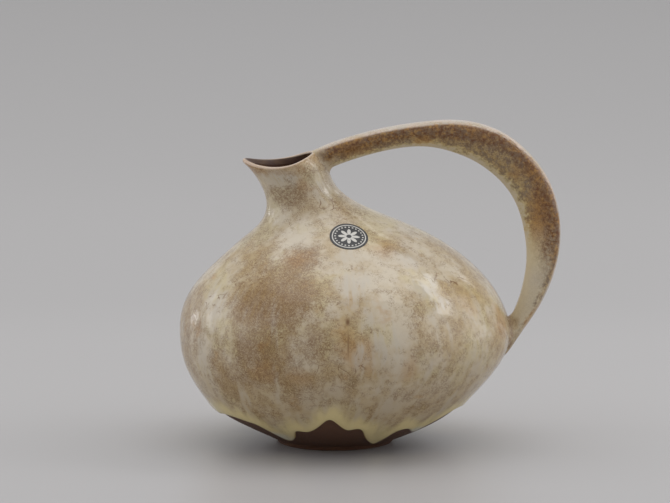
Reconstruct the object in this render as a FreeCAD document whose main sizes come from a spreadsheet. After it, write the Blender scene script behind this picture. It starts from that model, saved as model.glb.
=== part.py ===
import FreeCAD, Part
import math
import os

# A handled jug vase: a hollow clay body with a leaning neck and a dipped mouth, one loop handle
# luted on at rim and belly, glaze skins outside and inside, and a small oval label.
# Lengths are in millimetres and angles in degrees. The foot stands on z = 0, centred on the
# origin. The spout points to -X, the handle to +X, and the shape mirrors across y = 0.

# Driving dimensions. Rises are counted upwards from the station before; reaches are counted
# from the foot's centre, a left one towards -X and a right one towards +X.
SIZES = {
    "overrun": 2.0,
    "foot_radius": 27.7,
    "foot_band": 1.0,
    "foot_bevel": 0.5,
    "foot_ring_width": 5.0,
    "foot_recess_depth": 1.2,
    "belly_rise": 51.0,
    "belly_left_reach": 74.6,
    "belly_right_reach": 84.4,
    "flattening": 4.8,
    "shoulder_rise": 61.0,
    "throat_left_reach": 33.0,
    "throat_right_reach": 16.3,
    "neck_rise": 21.4,
    "mouth_left_reach": 42.9,
    "mouth_right_reach": -4.6,
    "saddle_radius": 38.0,
    "saddle_shift": 9.2,
    "rim_slope": 25.0,
    "glaze_thickness": 0.8,
    "wall_thickness": 3.0,
    "liner_thickness": 0.4,
    "glaze_edge_height": 14.6,
    "glaze_edge_radius": 330.0,
    "drip_fall": 9.6,
    "drip_half_width": 7.4,
    "handle_rise": 15.9,
    "handle_overhang": 23.6,
    "handle_thickness": 19.2,
    "handle_width": 17.0,
    "handle_root_bury": 8.8,
    "handle_end_bury": 3.7,
    "handle_joint_drop": 11.3,
    "upper_fillet_swell": 3.0,
    "lower_fillet_swell": 4.2,
    "fillet_sink": 0.9,
    "fillet_drop": 1.6,
    "label_width": 18.3,
    "label_extra_length": 0.8,
    "label_thickness": 0.3,
    "label_offset": 6.6,
    "label_drop": 9.1,
    "label_forward": 31.3,
    "label_reach": 24.0,
    "label_slope": 30.0,
}

# Each level ring of the outer form: how far it stands from the lower to the upper station, as
# shares of height, left reach and right reach, then its shares of the flattening and of the
# wall's thickness.
LOWER_BELLY_SHARES = [
    (0.00, 0.00, 0.00, 0.02, 1.0),
    (0.14, 0.32, 0.30, 0.29, 1.0),
    (0.32, 0.65, 0.56, 0.55, 1.0),
    (0.52, 0.83, 0.75, 0.74, 1.0),
    (0.76, 0.96, 0.92, 0.92, 1.0),
]
SHOULDER_SHARES = [
    (0.00, 0.00, 0.00, 1.00, 1.0),
    (0.20, 0.03, 0.04, 1.00, 1.0),
    (0.40, 0.18, 0.14, 1.06, 1.0),
    (0.59, 0.45, 0.31, 1.18, 1.0),
    (0.75, 0.71, 0.51, 1.26, 1.0),
    (0.88, 0.92, 0.75, 1.20, 1.0),
]
# The form runs on above the mouth, where the rim cut ends it.
NECK_SHARES = [
    (0.00, 0.00, 0.00, 0.97, 1.0),
    (0.33, 0.07, 0.58, 0.52, 1.0),
    (0.65, 0.39, 0.84, 0.42, 0.75),
    (1.00, 1.00, 1.00, 0.40, 0.30),
    (1.36, 1.80, 1.30, 0.50, 0.30),
    (1.75, 2.30, 1.55, 0.60, 0.30),
]

# Handle: the line of its outer face in three spans, from the root at the rim up to the crest,
# on to the outermost side, and down to the joint on the belly. Each place is a share of its
# span across and down or up, then come the section's thickness and width as shares of the
# largest ones, and its crown as a share of its own width.
CREST_REACH_SHARE = 0.575
SIDE_HEIGHT_SHARE = 0.525
HANDLE_RISE_SHARES = [
    (0.00, 0.00, 0.57, 1.25, 0.03),
    (0.16, 0.30, 0.57, 0.84, 0.10),
    (0.35, 0.57, 0.56, 0.80, 0.14),
    (0.58, 0.81, 0.56, 0.82, 0.14),
    (0.80, 0.95, 0.62, 0.87, 0.14),
    (1.00, 1.00, 0.79, 0.93, 0.14),
]
HANDLE_TURN_SHARES = [
    (0.20, 0.022, 0.89, 0.97, 0.14),
    (0.47, 0.115, 0.98, 1.00, 0.14),
    (0.705, 0.289, 1.00, 1.00, 0.14),
    (0.88, 0.51, 1.00, 1.00, 0.14),
    (0.976, 0.773, 0.96, 0.98, 0.15),
    (1.00, 1.00, 0.90, 0.95, 0.16),
]
HANDLE_FALL_SHARES = [
    (0.09, 0.29, 0.75, 0.85, 0.20),
    (0.21, 0.446, 0.66, 0.78, 0.24),
    (0.374, 0.595, 0.56, 0.72, 0.28),
    (0.56, 0.725, 0.47, 0.68, 0.30),
    (0.77, 0.865, 0.40, 0.66, 0.32),
    (1.00, 1.00, 0.34, 0.64, 0.32),
    (1.28, 1.08, 0.30, 0.58, 0.32),
]
# Shape of the section: its sides bow out a little and close on a round nose.
NOSE_WIDTH_SHARE = 0.36
NOSE_DEPTH_SHARE = 0.16
SIDE_BOW_SHARE = 0.07

# Slip fillets: the handle stations where each is widest and where it has run out, counted
# from the root.
UPPER_FILLET_STATIONS = (0, 2)
LOWER_FILLET_STATIONS = (18, 14)

# Drips of the glaze's lower edge: azimuth in degrees from +X towards the front, half width as a
# share of the widest drip's, and fall as a share of the longest drip's.
DRIP_SHARES = [
    (61, 0.95, 1.00),
    (45, 0.70, 0.40),
    (14, 0.80, 0.30),
    (124, 1.00, 0.80),
    (152, 0.75, 0.30),
    (180, 0.90, 0.55),
    (212, 0.85, 0.35),
    (241, 0.90, 0.80),
    (288, 0.90, 0.60),
    (318, 0.80, 0.30),
    (345, 0.90, 0.50),
]
# Bays where the edge rises and bares more clay, given the same way.
BAY_SHARES = [
    (94, 0.90, 0.55),
    (264, 0.80, 0.40),
]

doc = FreeCAD.newDocument("HandledVase")
sheet = doc.addObject("Spreadsheet::Sheet", "sizes")
for row, (name, value) in enumerate(SIZES.items(), start=1):
    sheet.set(f"A{row}", name)
    sheet.set(f"B{row}", str(value))
    sheet.setAlias(f"B{row}", name)
doc.recompute()


def size(name):
    """Read one driving dimension from the sheet."""
    return float(sheet.get(name))


def cell(name):
    """Name one driving dimension in an expression."""
    return f"sizes.{name}"


def between(low, high, share):
    """Expression for the place a share of the way from low to high."""
    return f"(({low}) + (({high}) - ({low})) * {share})"


# Stations of the outer form, each as expressions of height, left and right reach.
belly_height = f"({cell('foot_band')} + {cell('belly_rise')})"
throat_height = f"({belly_height} + {cell('shoulder_rise')})"
mouth_height = f"({throat_height} + {cell('neck_rise')})"
foot_reach = f"({cell('foot_radius')} + {cell('glaze_thickness')})"
FOOT = (cell("foot_band"), foot_reach, foot_reach)
BELLY = (belly_height, cell("belly_left_reach"), cell("belly_right_reach"))
THROAT = (throat_height, cell("throat_left_reach"), cell("throat_right_reach"))
MOUTH = (mouth_height, cell("mouth_left_reach"), cell("mouth_right_reach"))


def add(kind, name, **links):
    """Make a document object and set its linked objects and plain properties."""
    thing = doc.addObject(kind, name)
    for key, value in links.items():
        setattr(thing, key, value)
    return thing


def bind(thing, **expressions):
    """Bind an object's properties to the sheet. Two underscores stand for a dot."""
    for key, text in expressions.items():
        thing.setExpression(key.replace("__", "."), text)
    return thing


def ring(name, lower, upper, shares):
    """A level ellipse between two stations."""
    height, left, right = (between(low, high, share) for low, high, share in zip(lower, upper, shares))
    half_length = f"({left} + {right}) / 2"
    ellipse = add("Part::Ellipse", name)
    return bind(
        ellipse,
        MajorRadius=half_length,
        MinorRadius=f"{half_length} - {cell('flattening')} * {shares[3]}",
        Placement__Base__x=f"({right} - {left}) / 2",
        Placement__Base__z=height,
    )


def loft(name, sections):
    """A closed solid through the sections."""
    return add("Part::Loft", name, Sections=sections, Solid=True, Ruled=False)


def cut(name, base, *tools):
    """The base with each tool taken away in turn."""
    result = base
    for count, tool in enumerate(tools, start=1):
        step = name if count == len(tools) else f"{name}_step_{count}"
        result = add("Part::Cut", step, Base=result, Tool=tool, Refine=False)
    return result


def fuse(name, *shapes):
    """All shapes joined into one."""
    return add("Part::MultiFuse", name, Shapes=list(shapes), Refine=False)


SPANS = [(FOOT, BELLY, LOWER_BELLY_SHARES), (BELLY, THROAT, SHOULDER_SHARES), (THROAT, MOUTH, NECK_SHARES)]
RING_PLACES = [(lower, upper, shares) for lower, upper, table in SPANS for shares in table]
WALL_SHARES = [shares[4] for lower, upper, shares in RING_PLACES]
outer_rings = [ring(f"ring_{n}", *place) for n, place in enumerate(RING_PLACES)]
doc.recompute()


def inward_step(reaches, heights, number):
    """How a profile's point moves per unit of depth into the wall: drawn in and lifted."""
    before = max(number - 1, 0)
    after = min(number + 1, len(heights) - 1)
    outward = reaches[after] - reaches[before]
    upward = heights[after] - heights[before]
    length = math.hypot(outward, upward)
    return upward / length, outward / length, outward / upward


def inner_form(name, depth, wall_depth="0"):
    """The outer form drawn in square to its surface by a depth, and by the wall's share of another.

    The lowest ring bounds the floor, so it is drawn straight in.
    """
    heights = [ellipse.Placement.Base.z for ellipse in outer_rings]
    middles = [ellipse.Placement.Base.x for ellipse in outer_rings]
    halves = [ellipse.MajorRadius.Value for ellipse in outer_rings]
    profiles = [
        [half - middle for half, middle in zip(halves, middles)],
        [half + middle for half, middle in zip(halves, middles)],
        [ellipse.MinorRadius.Value for ellipse in outer_rings],
    ]
    rings = []
    for number, outer in enumerate(outer_rings):
        steps = [inward_step(profile, heights, number) for profile in profiles]
        lift = (steps[0][1] + steps[1][1]) / 2
        if number == 0:
            left = right = side = 1
        else:
            left, right, side = (drawn - (lift - raised) * slope for drawn, raised, slope in steps)
        total = f"({depth} + ({wall_depth}) * {WALL_SHARES[number]}) * 1 mm"
        ellipse = add("Part::Ellipse", f"{name}_ring_{number}")
        bind(
            ellipse,
            MajorRadius=f"{outer.Name}.MajorRadius - {total} * {(left + right) / 2}",
            MinorRadius=f"{outer.Name}.MinorRadius - {total} * {side}",
            Placement__Base__x=f"{outer.Name}.Placement.Base.x + {total} * {(left - right) / 2}",
            Placement__Base__z=f"{outer.Name}.Placement.Base.z + {total} * {lift}",
        )
        rings.append(ellipse)
    return loft(name, rings)


saddle_middle = f"(({cell('mouth_right_reach')} - {cell('mouth_left_reach')}) / 2 - {cell('saddle_shift')})"


def rim_cut(name, growth):
    """What is cut off above the rim: a saddle across the mouth and a slope up to the handle."""
    radius = f"({cell('saddle_radius')} + {growth})"
    centre_height = f"({mouth_height} + {cell('saddle_radius')})"
    half_span = cell("saddle_radius")
    saddle = add("Part::Cylinder", f"{name}_saddle")
    saddle.Placement = FreeCAD.Placement(FreeCAD.Vector(), FreeCAD.Rotation(FreeCAD.Vector(1, 0, 0), -90))
    bind(
        saddle,
        Radius=radius,
        Height=f"{half_span} * 2",
        Placement__Base__x=saddle_middle,
        Placement__Base__y=f"-{half_span}",
        Placement__Base__z=centre_height,
    )
    slope = add("Part::Box", f"{name}_slope")
    slope.Placement = FreeCAD.Placement(FreeCAD.Vector(), FreeCAD.Rotation(FreeCAD.Vector(0, -1, 0), 45))
    bind(
        slope,
        Length=f"{cell('saddle_radius')} * 2",
        Width=f"{half_span} * 2",
        Height=radius,
        Placement__Rotation__Angle=f"{cell('rim_slope')} * 1 deg",
        Placement__Base__x=f"{saddle_middle} + {radius} * sin({cell('rim_slope')} * 1 deg)",
        Placement__Base__y=f"-{half_span}",
        Placement__Base__z=f"{centre_height} - {radius} * cos({cell('rim_slope')} * 1 deg)",
    )
    return fuse(name, saddle, slope)


def handle_line():
    """The handle's outer line as points, with each section's thickness, width and crown."""
    slope = math.radians(size("rim_slope"))
    mouth_top = size("foot_band") + size("belly_rise") + size("shoulder_rise") + size("neck_rise")
    middle = (size("mouth_right_reach") - size("mouth_left_reach")) / 2 - size("saddle_shift")
    bend_x = middle + size("saddle_radius") * math.sin(slope)
    bend_z = mouth_top + size("saddle_radius") * (1 - math.cos(slope))
    root_x = size("mouth_right_reach") - size("handle_root_bury")
    root_z = bend_z + (root_x - bend_x) * math.tan(slope)
    top_z = root_z + size("handle_rise")
    side_x = size("belly_right_reach") + size("handle_overhang")
    crest_x = root_x + (side_x - root_x) * CREST_REACH_SHARE
    joint_x = size("belly_right_reach") - size("handle_end_bury")
    joint_z = size("foot_band") + size("belly_rise") - size("handle_joint_drop")
    side_z = joint_z + (top_z - joint_z) * SIDE_HEIGHT_SHARE
    spans = [
        (HANDLE_RISE_SHARES, (root_x, root_z), (crest_x, top_z)),
        (HANDLE_TURN_SHARES, (crest_x, top_z), (side_x, side_z)),
        (HANDLE_FALL_SHARES, (side_x, side_z), (joint_x, joint_z)),
    ]
    points = []
    shapes = []
    for table, start, end in spans:
        for across, along, thick_share, wide_share, crown_share in table:
            x = start[0] + (end[0] - start[0]) * across
            z = start[1] + (end[1] - start[1]) * along
            points.append(FreeCAD.Vector(x, 0, z))
            width = size("handle_width") * wide_share
            shapes.append((size("handle_thickness") * thick_share, width, width * crown_share))
    return points, shapes


handle_points, handle_shapes = handle_line()
handle_curve = Part.BSplineCurve()
handle_curve.interpolate(handle_points)


def handle_section(name, station, inset, swell=0, drop=0):
    """A rounded wedge across the handle: a crowned outer face, bowed sides and a round nose."""
    point = handle_points[station]
    thickness, width, crown = handle_shapes[station]
    forward = handle_curve.tangent(handle_curve.parameter(point))[0]
    inward = FreeCAD.Vector(forward.z, 0, -forward.x)
    half = width / 2 - inset + swell
    depth = thickness - inset + swell
    nose_half = width * NOSE_WIDTH_SHARE / 2
    nose_start = depth - thickness * NOSE_DEPTH_SHARE
    top = inset + drop
    corner = top + crown
    bow = (half + nose_half) / 2 + width * SIDE_BOW_SHARE

    def place(across, deep):
        return point + inward * deep + FreeCAD.Vector(0, across, 0)

    edges = [
        Part.Arc(place(-half, corner), place(0, top), place(half, corner)),
        Part.Arc(place(half, corner), place(bow, (corner + nose_start) / 2), place(nose_half, nose_start)),
        Part.Arc(place(nose_half, nose_start), place(0, depth), place(-nose_half, nose_start)),
        Part.Arc(place(-nose_half, nose_start), place(-bow, (corner + nose_start) / 2), place(-half, corner)),
    ]
    wire = Part.Wire([edge.toShape() for edge in edges])
    return add("Part::Feature", name, Shape=wire)


def handle_form(name, inset):
    """The whole handle from inside the neck to inside the belly."""
    stations = range(len(handle_points))
    return loft(name, [handle_section(f"{name}_section_{n}", n, inset) for n in stations])


def fillet_form(name, widest, narrowest, widest_swell, inset):
    """A slip fillet round one end of the handle, widest in the body and running out along it."""
    step = 1 if narrowest > widest else -1
    sections = []
    for number in range(widest, narrowest + step, step):
        share = (number - widest) / (narrowest - widest)
        swell = widest_swell * (1 - share) - size("fillet_sink") * share
        title = f"{name}_section_{number}"
        sections.append(handle_section(title, number, inset, swell, size("fillet_drop")))
    return loft(name, sections)


def tongue(name, azimuth, width_share, fall_share, side):
    """An oval prism out through the wall. Side 1 hangs below the glaze's edge, -1 stands on it."""
    half_width = f"{cell('drip_half_width')} * {width_share}"
    outline = add("Part::Ellipse", f"{name}_outline")
    outward = FreeCAD.Vector(math.cos(math.radians(azimuth)), -math.sin(math.radians(azimuth)), 0)
    upward = FreeCAD.Vector(0, 0, 1)
    turn = FreeCAD.Rotation(upward, outward.cross(upward), outward, "ZXY")
    outline.Placement = FreeCAD.Placement(FreeCAD.Vector(), turn)
    bind(
        outline,
        MajorRadius=f"{half_width} + {cell('drip_fall')} * {fall_share}",
        MinorRadius=half_width,
        Placement__Base__x=f"{cell('foot_radius')} * {outward.x}",
        Placement__Base__y=f"{cell('foot_radius')} * {outward.y}",
        Placement__Base__z=f"{cell('glaze_edge_height')} + {half_width} * {side}",
    )
    prism = add("Part::Extrusion", name, Base=outline, DirMode="Custom", Solid=True)
    prism.Dir = outward
    return bind(prism, LengthFwd=f"{cell('belly_left_reach')} + {cell('belly_right_reach')}")


def glaze_zone():
    """Where the outer glaze reaches: above its edge, with the drips and without the bays."""
    above = add("Part::Cylinder", "above_edge")
    above.Placement = FreeCAD.Placement(FreeCAD.Vector(), FreeCAD.Rotation(FreeCAD.Vector(1, 0, 0), -90))
    bind(
        above,
        Radius=cell("glaze_edge_radius"),
        Height=f"({cell('belly_left_reach')} + {cell('belly_right_reach')}) * 2",
        Placement__Base__y=f"-{cell('belly_left_reach')} - {cell('belly_right_reach')}",
        Placement__Base__z=f"{cell('glaze_edge_height')} + {cell('glaze_edge_radius')}",
    )
    drips = [tongue(f"drip_{n}", *shares, 1) for n, shares in enumerate(DRIP_SHARES)]
    bays = [tongue(f"bay_{n}", *shares, -1) for n, shares in enumerate(BAY_SHARES)]
    return cut("glaze_zone", fuse("above_and_drips", above, *drips), *bays)


def label_prism():
    """An oval prism that stands square on the shoulder where the label sits."""
    tilt = FreeCAD.Rotation(FreeCAD.Vector(1, 0, 0), size("label_slope"))
    outward = tilt.multVec(FreeCAD.Vector(0, 0, 1))
    throat = size("foot_band") + size("belly_rise") + size("shoulder_rise")
    middle = FreeCAD.Vector(size("label_offset"), -size("label_forward"), throat - size("label_drop"))
    outline = add("Part::Ellipse", "label_outline")
    bind(
        outline,
        MajorRadius=f"({cell('label_width')} + {cell('label_extra_length')}) / 2",
        MinorRadius=f"{cell('label_width')} / 2",
    )
    quarter_turn = FreeCAD.Rotation(FreeCAD.Vector(0, 0, 1), 90)
    outline.Placement = FreeCAD.Placement(middle - outward * size("label_reach"), tilt * quarter_turn)
    prism = add("Part::Extrusion", "label_prism", Base=outline, DirMode="Custom", Solid=True)
    prism.Dir = outward
    return bind(prism, LengthFwd=f"{cell('label_reach')} * 2")


def foot_block():
    """The unglazed foot, bevelled towards the table, up into the belly."""
    return bind(
        add("Part::Cone", "foot_block"),
        Radius1=f"{cell('foot_radius')} - {cell('foot_bevel')}",
        Radius2=cell("foot_radius"),
        Height=f"{cell('foot_band')} + {cell('glaze_thickness')} + {cell('overrun')}",
    )


def foot_recess():
    """The shallow recess inside the foot ring."""
    return bind(
        add("Part::Cylinder", "foot_recess"),
        Radius=f"{cell('foot_radius')} - {cell('foot_ring_width')}",
        Height=f"{cell('foot_recess_depth')} + {cell('overrun')}",
        Placement__Base__z=f"-{cell('overrun')}",
    )


form = loft("outer_form", outer_rings)
glaze = cell("glaze_thickness")
wall = cell("wall_thickness")
clay_form = inner_form("clay_form", glaze)
hollow = inner_form("hollow", glaze, wall)
lined_hollow = inner_form("lined_hollow", f"{glaze} + {cell('liner_thickness')}", wall)
rim = rim_cut("rim_cut", "0")
clay_rim = rim_cut("clay_rim_cut", glaze)
foot = foot_block()
clay_inset = size("glaze_thickness")
upper_fillet = (*UPPER_FILLET_STATIONS, size("upper_fillet_swell"))
lower_fillet = (*LOWER_FILLET_STATIONS, size("lower_fillet_swell"))
handle_clay = handle_form("handle_clay", clay_inset)
upper_clay = fillet_form("upper_fillet_clay", *upper_fillet, clay_inset)
lower_clay = fillet_form("lower_fillet_clay", *lower_fillet, clay_inset)

clay_body = cut("clay_body", fuse("clay_with_foot", clay_form, foot), hollow, clay_rim, foot_recess())
handle = cut("handle", handle_clay, clay_form)
upper_joint = cut("upper_joint", upper_clay, handle_clay, clay_form)
lower_joint = cut("lower_joint", lower_clay, handle_clay, clay_form)
skin = cut("glaze_skin", form, rim, cut("clay_core", clay_form, clay_rim), hollow)
edged_skin = add("Part::Common", "edged_skin", Base=skin, Tool=glaze_zone())
outer_glaze = cut("outer_glaze", edged_skin, handle_clay, upper_clay, lower_clay)
glazed_handle = fuse(
    "glazed_handle",
    handle_form("handle_glaze_form", 0),
    fillet_form("upper_fillet_glaze", *upper_fillet, 0),
    fillet_form("lower_fillet_glaze", *lower_fillet, 0),
)
handle_glaze = cut("handle_glaze", glazed_handle, handle_clay, upper_clay, lower_clay, form)
inner_glaze = cut("inner_glaze", hollow, lined_hollow, rim)
label_shell = inner_form("label_shell", f"-{cell('label_thickness')}")
label = cut("label", add("Part::Common", "label_blank", Base=label_prism(), Tool=label_shell), form)

doc.recompute()
faults = []
for thing in doc.Objects:
    if "Invalid" in thing.State or "Error" in thing.State:
        faults.append(f"{thing.Name} is {thing.State}")
sub_parts = [clay_body, handle, upper_joint, lower_joint, outer_glaze, handle_glaze, inner_glaze, label]
for part in sub_parts:
    part.Label = part.Name
    if part.Shape.isNull() or not part.Shape.isValid() or not part.Shape.Solids:
        faults.append(f"{part.Label} has no valid solid")
if faults:
    raise RuntimeError("; ".join(faults))

os.makedirs("parts", exist_ok=True)
for part in sub_parts:
    part.Shape.exportStep(os.path.join("parts", f"{part.Label}.step"))
    print(part.Label, len(part.Shape.Solids), "solid", round(part.Shape.Volume), "mm3")
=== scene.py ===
import math

import bmesh
import bpy
import numpy as np
from bpy.props import FloatProperty, FloatVectorProperty, PointerProperty
from mathutils import Matrix, Vector, noise
from mathutils.bvhtree import BVHTree
from mathutils.kdtree import KDTree


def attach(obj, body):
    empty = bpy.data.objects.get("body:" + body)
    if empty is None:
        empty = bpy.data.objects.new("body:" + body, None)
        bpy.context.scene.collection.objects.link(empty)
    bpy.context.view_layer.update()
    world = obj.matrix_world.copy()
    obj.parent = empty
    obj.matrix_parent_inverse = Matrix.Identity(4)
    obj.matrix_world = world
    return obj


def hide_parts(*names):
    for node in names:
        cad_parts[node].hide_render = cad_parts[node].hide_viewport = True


# A glazed stoneware jug vase: a clay body bare at the foot, a runny cream and tan glaze with a
# dripping lower edge, a dark glazed inside, one loop handle and a small oval label.
# Lengths are in metres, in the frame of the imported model: the foot stands on z = 0, the spout
# points to -X, the handle to +X, and the photographed side faces -Y.

bl_info = {
    "name": "Handled Vase",
    "version": (1, 0, 0),
    "blender": (4, 5, 0),
    "location": "View3D > Sidebar > Vase",
    "description": "Dresses a handled stoneware vase with clay, glazes and a label",
    "category": "Object",
}

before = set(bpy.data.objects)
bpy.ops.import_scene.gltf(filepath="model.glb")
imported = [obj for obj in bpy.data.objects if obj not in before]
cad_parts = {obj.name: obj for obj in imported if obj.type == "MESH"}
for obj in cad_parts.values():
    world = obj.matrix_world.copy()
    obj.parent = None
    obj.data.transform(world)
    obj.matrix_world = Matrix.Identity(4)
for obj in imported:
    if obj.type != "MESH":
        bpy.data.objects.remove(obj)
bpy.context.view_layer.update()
MM = 0.001

# The outer form. Each station is a height, a reach towards the spout and one towards the handle.
FOOT = (1.0 * MM, 28.5 * MM, 28.5 * MM)
BELLY = (52.0 * MM, 74.6 * MM, 84.4 * MM)
THROAT = (113.0 * MM, 33.0 * MM, 16.3 * MM)
MOUTH = (134.4 * MM, 42.9 * MM, -4.6 * MM)
FLATTENING = 4.8 * MM
# Rings between two stations, as shares of height, left reach, right reach and flattening.
LOWER_BELLY_SHARES = [
    (0.00, 0.00, 0.00, 0.02),
    (0.14, 0.32, 0.30, 0.29),
    (0.32, 0.65, 0.56, 0.55),
    (0.52, 0.83, 0.75, 0.74),
    (0.76, 0.96, 0.92, 0.92),
]
SHOULDER_SHARES = [
    (0.00, 0.00, 0.00, 1.00),
    (0.20, 0.03, 0.04, 1.00),
    (0.40, 0.18, 0.14, 1.06),
    (0.59, 0.45, 0.31, 1.18),
    (0.75, 0.71, 0.51, 1.26),
    (0.88, 0.92, 0.75, 1.20),
]
NECK_SHARES = [
    (0.00, 0.00, 0.00, 0.97),
    (0.33, 0.07, 0.58, 0.52),
    (0.65, 0.39, 0.84, 0.42),
    (1.00, 1.00, 1.00, 0.40),
    (1.36, 1.80, 1.30, 0.50),
    (1.75, 2.30, 1.55, 0.60),
]
# The rim dips in a round saddle and then climbs straight towards the handle.
SADDLE_RADIUS = 38.0 * MM
SADDLE_SHIFT = 9.2 * MM
RIM_SLOPE = math.radians(25.0)

# The glaze's lower edge: azimuth in degrees from the handle's side round by the front, and the
# edge's height. The front follows the photograph, the back is made in the same manner.
EDGE_LINE = [
    (0, 17.4), (8, 18.6), (16, 19.4), (23, 19.6), (28, 17.8), (32, 15.6), (36, 13.0), (40, 10.4),
    (43.5, 10.8), (48, 12.6), (51.5, 13.2), (54.4, 12.6), (56.2, 11.0), (57.4, 8.2), (58.9, 5.9),
    (61.2, 5.0), (64, 5.3), (67, 6.4), (70, 7.9), (73, 10.4), (75.5, 13.4), (78, 15.2), (81, 15.0),
    (84, 14.8), (87, 16.4), (90, 19.2), (92.5, 20.6), (95, 19.0), (99, 15.6), (103, 13.6),
    (107, 13.4), (110.5, 13.2), (114, 9.8), (118, 7.2), (122, 6.6), (126, 8.0), (129, 11.8),
    (132, 14.6), (136, 15.8), (142, 16.8), (149, 17.4), (157, 17.0), (163, 16.2), (169, 16.8),
    (177, 17.8), (185, 14.4), (191, 8.4), (196, 7.2), (201, 9.0), (207, 14.6), (215, 17.0),
    (223, 12.8), (229, 11.6), (236, 14.8), (244, 17.4), (251, 13.2), (256, 6.6), (261, 5.0),
    (266, 6.8), (271, 13.2), (279, 16.6), (288, 13.4), (294, 12.0), (301, 14.6), (309, 17.2),
    (317, 12.2), (322, 8.0), (327, 7.4), (332, 10.4), (338, 15.4), (347, 17.6),
]

# The handle's outer line in three spans: from the root up to the crest, on to the outermost
# side, and down to the belly. Shares of the span, then of thickness and width, then the crown.
HANDLE_ROOT = (-13.4 * MM, 139.5 * MM)
HANDLE_CREST = (56.4 * MM, 155.4 * MM)
HANDLE_SIDE = (108.0 * MM, 101.0 * MM)
HANDLE_END = (80.7 * MM, 40.7 * MM)
HANDLE_RISE_SHARES = [
    (0.00, 0.00, 0.57, 1.25, 0.03),
    (0.16, 0.30, 0.57, 0.84, 0.10),
    (0.35, 0.57, 0.56, 0.80, 0.14),
    (0.58, 0.81, 0.56, 0.82, 0.14),
    (0.80, 0.95, 0.62, 0.87, 0.14),
    (1.00, 1.00, 0.79, 0.93, 0.14),
]
HANDLE_TURN_SHARES = [
    (0.20, 0.022, 0.89, 0.97, 0.14),
    (0.47, 0.115, 0.98, 1.00, 0.14),
    (0.705, 0.289, 1.00, 1.00, 0.14),
    (0.88, 0.51, 1.00, 1.00, 0.14),
    (0.976, 0.773, 0.96, 0.98, 0.15),
    (1.00, 1.00, 0.90, 0.95, 0.16),
]
HANDLE_FALL_SHARES = [
    (0.09, 0.29, 0.75, 0.85, 0.20),
    (0.21, 0.446, 0.66, 0.78, 0.24),
    (0.374, 0.595, 0.56, 0.72, 0.28),
    (0.56, 0.725, 0.47, 0.68, 0.30),
    (0.77, 0.865, 0.40, 0.66, 0.32),
    (1.00, 1.00, 0.34, 0.64, 0.32),
    (1.28, 1.08, 0.30, 0.58, 0.32),
]

# The label's middle on the shoulder, and the way it faces.
LABEL_PLACE = Vector((6.6 * MM, -31.3 * MM, 103.9 * MM))
LABEL_FACES = Vector((0.08, -0.51, 0.86))

# How finely the round pieces are divided.
BODY_COLUMNS = 480
CLAY_COLUMNS = 240
# Short steps for reading the form's slopes, and halvings for finding a line on it.
SIDE_STEP = 0.2 * MM
TURN_STEP = 0.002
HALVINGS = 40
# The thrown surface's bumps: size of the wide and the small ones, share of the small ones, and
# how far the small pattern is moved from the wide one.
WIDE_BUMPS = 21 * MM
SMALL_BUMPS = 8 * MM
SMALL_BUMP_SHARE = 0.45
SMALL_BUMP_SHIFT = Vector((7, 3, 1))
# The streaks' pattern: the radius round which it is read, and how quickly it changes up the side.
STREAK_RADIUS = 0.06
STREAK_CLIMB = 4


def length_setting(name, description, default):
    """A length a user may change."""
    return FloatProperty(name=name, description=description, default=default, unit="LENGTH")


class VaseSizes(bpy.types.PropertyGroup):
    """Sizes of the vase's wall, skins, handle, label and foot."""

    glaze_thickness: length_setting("Glaze Thickness", "Thickness of the outer glaze", 0.8 * MM)
    liner_thickness: length_setting("Inner Glaze Thickness", "Thickness of the inner glaze", 0.4 * MM)
    wall_thickness: length_setting("Wall Thickness", "Thickness of the clay in belly and neck", 3.0 * MM)
    rim_thickness: length_setting("Rim Thickness", "Thickness of the glazed lip", 2.1 * MM)
    edge_roll: length_setting("Edge Roll", "Radius on which the glaze's lower edge rolls over", 1.5 * MM)
    edge_swell: length_setting("Edge Swell", "Extra glaze gathered along the lower edge", 0.45 * MM)
    unevenness: length_setting("Unevenness", "How far the thrown surface wanders", 0.16 * MM)
    upper_fillet: length_setting("Upper Fillet", "Radius between handle and neck", 3.2 * MM)
    lower_fillet: length_setting("Lower Fillet", "Radius between handle and belly", 3.6 * MM)
    handle_thickness: length_setting("Handle Thickness", "Largest thickness of the handle", 19.2 * MM)
    handle_width: length_setting("Handle Width", "Largest width of the handle", 17.0 * MM)
    label_width: length_setting("Label Width", "Width of the oval label", 18.3 * MM)
    label_height: length_setting("Label Height", "Height of the oval label along the shoulder", 19.1 * MM)
    label_thickness: length_setting("Label Thickness", "Thickness of the label", 0.15 * MM)
    foot_radius: length_setting("Foot Radius", "Radius of the standing foot", 27.7 * MM)
    foot_ring: length_setting("Foot Ring", "Width of the ring the vase stands on", 5.0 * MM)
    foot_recess: length_setting("Foot Recess", "Depth of the recess inside the foot ring", 1.2 * MM)


def colour_setting(name, description, default):
    """A colour a user may change, in linear light."""
    return FloatVectorProperty(
        name=name, description=description, default=default, size=3, subtype="COLOR", min=0.0, max=1.0
    )


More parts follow.
